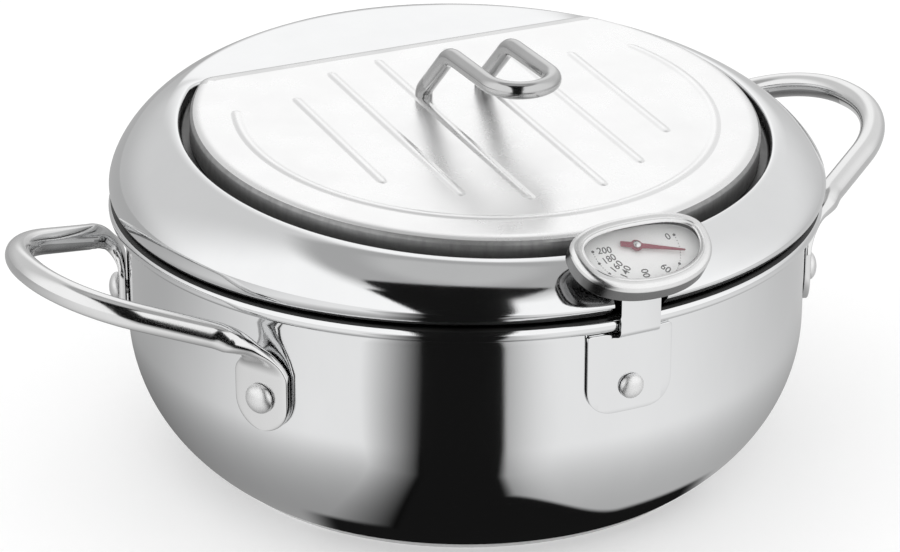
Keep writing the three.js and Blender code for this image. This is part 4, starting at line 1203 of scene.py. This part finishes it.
# %% [markdown]
# Inside the tube, a helix of two metals twists as it warms and turns the long arbor that
# carries the pointer, in a brass bearing. The helix is a small flat section carried round
# nine turns.

# %% Arbor, bearing and coil
arbor = turned("arbor_shaft", [(0, -80), (1.5, -80), (1.6, -79.9), (1.6, -79), (0.6, -79),
                               (0.6, 1.0), (0.5, 1.1), (0, 1.1)], 32)
arbor.data.transform(Matrix.Rotation(pointer_angle, 4, "Z"))
placed(leaned(smooth(arbor, 30)), "pointer", case_steel, "pointer_arbor")
bearing = turned("arbor_bush", [(0.9, -5.0), (2.0, -5.0), (2.0, -3.9), (2.9, -3.9), (3.0, -3.8),
                                (3.0, -3.1), (0.9, -3.1), (0.9, -5.0)], 48)
placed(leaned(smooth(bearing, 30)), "thermometer", brass, "arbor_bearing")
coil_turns, coil_steps, coil_radius, coil_bottom, coil_length = 9, 24, 1.45, -108.85, 28.1
strip_out, strip_up = 0.17, 0.44
section = [(-strip_out, -strip_up), (strip_out, -strip_up), (strip_out, strip_up),
           (-strip_out, strip_up)]
rings = []
for k in range(coil_turns * coil_steps + 1):
    a = 2 * math.pi * k / coil_steps
    height = coil_bottom + coil_length * k / (coil_turns * coil_steps)
    rings.append([((coil_radius + out) * math.cos(a), (coil_radius + out) * math.sin(a),
                   height + up) for out, up in section])
coil = closed_ends(rolled("bimetal_helix", rings))
placed(leaned(smooth(coil, 30)), "thermometer", bimetal, "bimetal_coil")

# %% [markdown]
# ## Camera
# The camera looks from the front left and from above, as the photograph does: 26 degrees
# round from the front, 23 degrees up and 1.23 m from the middle of the rim. A lens shift
# could move the pot to its place in the picture; the camera is moved instead, by the same
# small offsets, so that other views stay centred.

# %% Camera
view_azimuth, view_elevation, view_distance = math.radians(-26.25), math.radians(23.2), 1.23
photo_width, focal_pixels, aim_height, sensor = 900, 3515, 0.096, 36
pixels_right, pixels_up = 15.3, -91.5
back = Vector((math.sin(view_azimuth) * math.cos(view_elevation),
               -math.cos(view_azimuth) * math.cos(view_elevation), math.sin(view_elevation)))
right = Vector((math.cos(view_azimuth), math.sin(view_azimuth), 0))
up = back.cross(right)
camera_data = bpy.data.cameras.new("camera")
camera = bpy.data.objects.new("camera", camera_data)
bpy.context.collection.objects.link(camera)
camera_data.sensor_width = sensor
camera_data.lens = focal_pixels / photo_width * sensor
camera_data.clip_start, camera_data.clip_end = 0.01, 50
offset_right = pixels_right / focal_pixels * view_distance
offset_up = pixels_up / focal_pixels * view_distance
middle = Vector((0, 0, aim_height))
camera.location = middle + back * view_distance - right * offset_right + up * offset_up
facing = Matrix((right, up, back)).transposed().to_4x4()
camera.matrix_world = Matrix.Translation(camera.location) @ facing
bpy.context.scene.camera = camera
print("camera at", [round(c, 3) for c in camera.location])

# %% [markdown]
# ## Studio
# Polished steel has no colour of its own: it shows what stands round it. A photographer
# surrounds such a pot with white, and sets black cards where a dark line is wanted, to draw
# the form. Here the floor and the world give plain white light and are hidden from
# reflections. What the steel mirrors is painted on a dome and a mat that nothing else sees.

# %% Plain surround and floor
world = bpy.data.worlds.new("plain_surround")
bpy.context.scene.world = world
world.use_nodes = True
world.node_tree.nodes["Background"].inputs["Color"].default_value = (1, 1, 1, 1)
world.node_tree.nodes["Background"].inputs["Strength"].default_value = 0.92
world.cycles_visibility.glossy = False
floor = named(added(bpy.ops.mesh.primitive_plane_add, size=12), "studio_floor")
floor_paint, nodes, links, shader = new_material("floor_paint")
shader.inputs["Base Color"].default_value = (*grey(0.66), 1)
shader.inputs["Roughness"].default_value = 0.9
shader.inputs["Specular IOR Level"].default_value = 0
shader.inputs["Emission Color"].default_value = (1, 1, 1, 1)
shader.inputs["Emission Strength"].default_value = 0.4
floor.data.materials.append(floor_paint)
floor.visible_glossy = False
bpy.context.scene.view_settings.view_transform = "Standard"
print("floor:", [round(c, 1) for c in floor.dimensions], "m")

# %% [markdown]
# A card is a glowing surface whose strength is worked out from where a point of it lies.
# It is measured along three fixed directions: aside, towards the photographer, and up. They
# are plain numbers, so the cards stay where they are when another view is rendered. Painted
# pictures of a studio could serve as well; sums of plain numbers say what stands where.


# %% Cards that glow by a sum
class Card:
    """A material that glows by a sum written in plain numbers and node outputs."""

    def __init__(self, name):
        self.material = bpy.data.materials.new(name)
        self.material.use_nodes = True
        self.nodes, self.links = self.material.node_tree.nodes, self.material.node_tree.links
        self.nodes.clear()
        place = self.nodes.new("ShaderNodeTexCoord").outputs["Object"]
        self.aside = self.along(place, (math.cos(view_azimuth), math.sin(view_azimuth), 0))
        self.towards = self.along(place, (math.sin(view_azimuth), -math.cos(view_azimuth), 0))
        self.rise = self.along(place, (0, 0, 1))
        self.turn = self.degrees(self.aside, self.towards)
        self.swing = self.math_node("ABSOLUTE", self.turn)
        self.level = self.math_node("SQRT", self.plus(self.math_node("POWER", self.aside, 2),
                                                 self.math_node("POWER", self.towards, 2)))
        self.right_hand = self.step(self.turn, -20, 20)

    def along(self, place, direction):
        node = self.nodes.new("ShaderNodeVectorMath")
        node.operation = "DOT_PRODUCT"
        self.links.new(place, node.inputs[0])
        node.inputs[1].default_value = direction
        return node.outputs["Value"]

    def math_node(self, kind, first, second=0.0):
        node = self.nodes.new("ShaderNodeMath")
        node.operation = kind
        for socket, value in zip(node.inputs, (first, second)):
            if isinstance(value, (int, float)):
                socket.default_value = value
            else:
                self.links.new(value, socket)
        return node.outputs[0]

    def plus(self, first, second):
        return self.math_node("ADD", first, second)

    def minus(self, first, second):
        return self.math_node("SUBTRACT", first, second)

    def times(self, first, *others):
        for other in others:
            first = self.math_node("MULTIPLY", first, other)
        return first

    def degrees(self, across, ahead):
        return self.times(self.math_node("ARCTAN2", across, ahead), 180 / math.pi)

    def step(self, value, start, end, low=0.0, high=1.0):
        """A soft change from low to high, while a value goes from start to end."""
        node = self.nodes.new("ShaderNodeMapRange")
        node.interpolation_type = "SMOOTHSTEP"
        amounts = {"From Min": start, "From Max": end, "To Min": low, "To Max": high}
        for name, amount in amounts.items():
            node.inputs[name].default_value = amount
        self.links.new(value, node.inputs["Value"])
        return node.outputs["Result"]

    def mix(self, share, first, second):
        return self.plus(first, self.times(share, self.minus(second, first)))

    def painted(self, glow, piece):
        """Give a piece this glow, and show it to reflections only."""
        light = self.nodes.new("ShaderNodeEmission")
        self.links.new(glow, light.inputs["Strength"])
        output = self.nodes.new("ShaderNodeOutputMaterial")
        self.links.new(light.outputs[0], output.inputs["Surface"])
        self.material.cycles.emission_sampling = "NONE"
        piece.data.materials.append(self.material)
        piece.visible_camera = piece.visible_diffuse = piece.visible_shadow = False
        piece.visible_transmission = piece.visible_volume_scatter = False


dark_glow, card_radius = 0.008, 2.0
print("cards face azimuth", round(math.degrees(view_azimuth), 2), "degrees")

# %% [markdown]
# ## Reflection dome
# The dome is the white tent round the pot. It glows most on the photographer's side and
# high up behind, less at the sides and least low down there, and its ceiling is grey. These
# soft steps give the walls of the pot and the collar their gradients.

# %% White tent
card = Card("dome_paint")
front_glow, left_glow, right_glow = 1.12, 0.72, 0.86
low_share, ceiling_glow, zenith_glow = 0.74, 0.44, 0.56
height = card.degrees(card.rise, card.level)
side = card.mix(card.right_hand, left_glow, right_glow)
wall = card.mix(card.step(card.swing, 78, 122), front_glow, side)
foot = card.mix(card.step(height, 2, 26), card.times(wall, low_share), wall)
wall = card.mix(card.step(card.swing, 90, 130), wall, foot)
behind = card.times(card.step(card.swing, 152, 172), card.step(height, 8, 22))
wall = card.mix(behind, wall, front_glow)
ceiling = card.mix(card.step(height, 74, 81), ceiling_glow, zenith_glow)
wall = card.mix(card.step(height, 62, 69), wall, ceiling)
print("nodes for the tent:", len(card.nodes))

# %% [markdown]
# Two dark openings stand on the camera's side. A wide slot under the ceiling makes the bar
# of the dark mark on the collar, and the gap through which the camera looks makes its stem.
# Both are bounded by straight and bent lines: spread is how far to the side a direction
# leans, and climb is how far up.

# %% Dark slot and dark gap
spread = card.math_node("DIVIDE", card.aside, card.towards)
climb = card.math_node("DIVIDE", card.rise, card.towards)
slot_bottom = card.plus(2.2, card.times(spread, card.plus(0.12, card.times(spread, 1.15))))
above_bottom = card.step(card.minus(climb, slot_bottom), -0.08, 0.1)
slot = card.times(above_bottom, card.step(climb, 4.45, 3.95),
                  card.times(card.step(spread, -1.9, -1.2), card.step(spread, 1.55, 1.35)))
left_flare, right_flare = card.times(climb, climb, 0.09), card.times(climb, 0.115)
left_edge = card.step(card.plus(spread, left_flare), -0.29, -0.23)
right_edge = card.step(card.minus(spread, right_flare), 0.21, 0.17)
gap = card.times(left_edge, right_edge, card.step(climb, 3.0, 2.75))
camera_side = card.step(card.towards, 0.0, 0.05)
dark = card.times(card.math_node("MAXIMUM", slot, gap), camera_side)
dome = added(bpy.ops.mesh.primitive_uv_sphere_add, segments=64, ring_count=32, radius=card_radius)
card.painted(card.mix(dark, wall, dark_glow), named(dome, "reflection_dome"))
print("nodes for the whole dome:", len(card.nodes))

# %% [markdown]
# ## Reflection mat
# The mat is the table as the lower wall mirrors it. It is white in front, greyer at the
# sides and close to the pot, where the pot takes the light away.

# %% White table
card = Card("mat_paint")
left_side = card.step(card.swing, 35, 105, 0.97, 0.48)
right_side = card.step(card.swing, 40, 120, 1.0, 0.64)
left_near = card.step(card.level, 0.095, 0.225, 0.33, 0.95)
right_near = card.step(card.level, 0.09, 0.215, 0.45, 0.93)
mat = card.times(card.mix(card.right_hand, left_side, right_side),
                 card.mix(card.right_hand, left_near, right_near))
print("nodes for the table:", len(card.nodes))

# %% [markdown]
# A dark strip runs from the pot to the camera, wider farther out. The straight wall mirrors
# it as the band down the front of the pot. Beside it the table is shaded, clearly on the
# left and faintly on the right, and a round pool of painted shadow lies close to the pot's foot.

# %% Dark strip, its shade and the painted shadow pool
strip_shift, least_half, strip_flare, flare_start = 0.003, 0.023, 0.22, 0.155
half = card.plus(0.024, card.times(strip_flare, card.minus(card.towards, flare_start)))
half = card.math_node("MAXIMUM", least_half, half)
across = card.plus(card.aside, strip_shift)
shade_reach = card.step(card.towards, 0.11, 0.29, 0.025, 0.09)
beside = card.math_node("DIVIDE", card.minus(card.math_node("ABSOLUTE", across), half), shade_reach)
beside = card.math_node("MINIMUM", 1.0, card.math_node("MAXIMUM", 0.0, card.minus(1.0, beside)))
faint = card.times(beside, beside, 0.52)
shade = card.mix(card.step(across, -0.001, 0.001), beside, faint)
mat = card.times(mat, card.minus(1.0, shade))
left_edge = card.step(card.plus(across, half), -0.004, 0.003)
right_edge = card.step(card.minus(across, half), 0.004, -0.003)
strip = card.times(left_edge, right_edge, card.step(card.towards, 0.05, 0.08))
shadow_pool_edge = card.mix(card.step(card.turn, -12, 4), 0.101,
                     card.step(card.turn, 6, 34, 0.130, 0.1035))
painted_shadow_pool = card.times(card.step(card.minus(card.level, shadow_pool_edge), 0.002, -0.002),
                  card.step(card.turn, -38, -28), card.step(card.turn, 66, 52))
mat_card = added(bpy.ops.mesh.primitive_circle_add, vertices=64, radius=card_radius,
                 fill_type="NGON", location=(0, 0, 0))
card.painted(card.mix(card.math_node("MAXIMUM", strip, painted_shadow_pool), mat, dark_glow),
             named(mat_card, "reflection_mat"))
print("nodes for the whole mat:", len(card.nodes))

# %% [markdown]
# ## Overhead light
# One large soft lamp above the pot gives it a faint shadow on the floor. A small lamp would
# draw a hard shadow, and the photograph has none.

# %% Overhead light
lamp_data = bpy.data.lights.new("ceiling_box", "AREA")
lamp_data.shape = "RECTANGLE"
lamp_data.size, lamp_data.size_y = 1.6, 1.2
lamp_data.energy = 4
lamp = bpy.data.objects.new("ceiling_box", lamp_data)
bpy.context.collection.objects.link(lamp)
lamp.visible_glossy = False
lamp.location = (-0.3, 0.25, 1.8)
pot_middle = Vector((0, 0, 0.05))
aim = (pot_middle - lamp.location).to_track_quat("-Z", "Y").to_matrix().to_4x4()
lamp.matrix_world = Matrix.Translation(lamp.location) @ aim
print("lamp:", lamp_data.energy, "W at", [round(c, 2) for c in lamp.location])
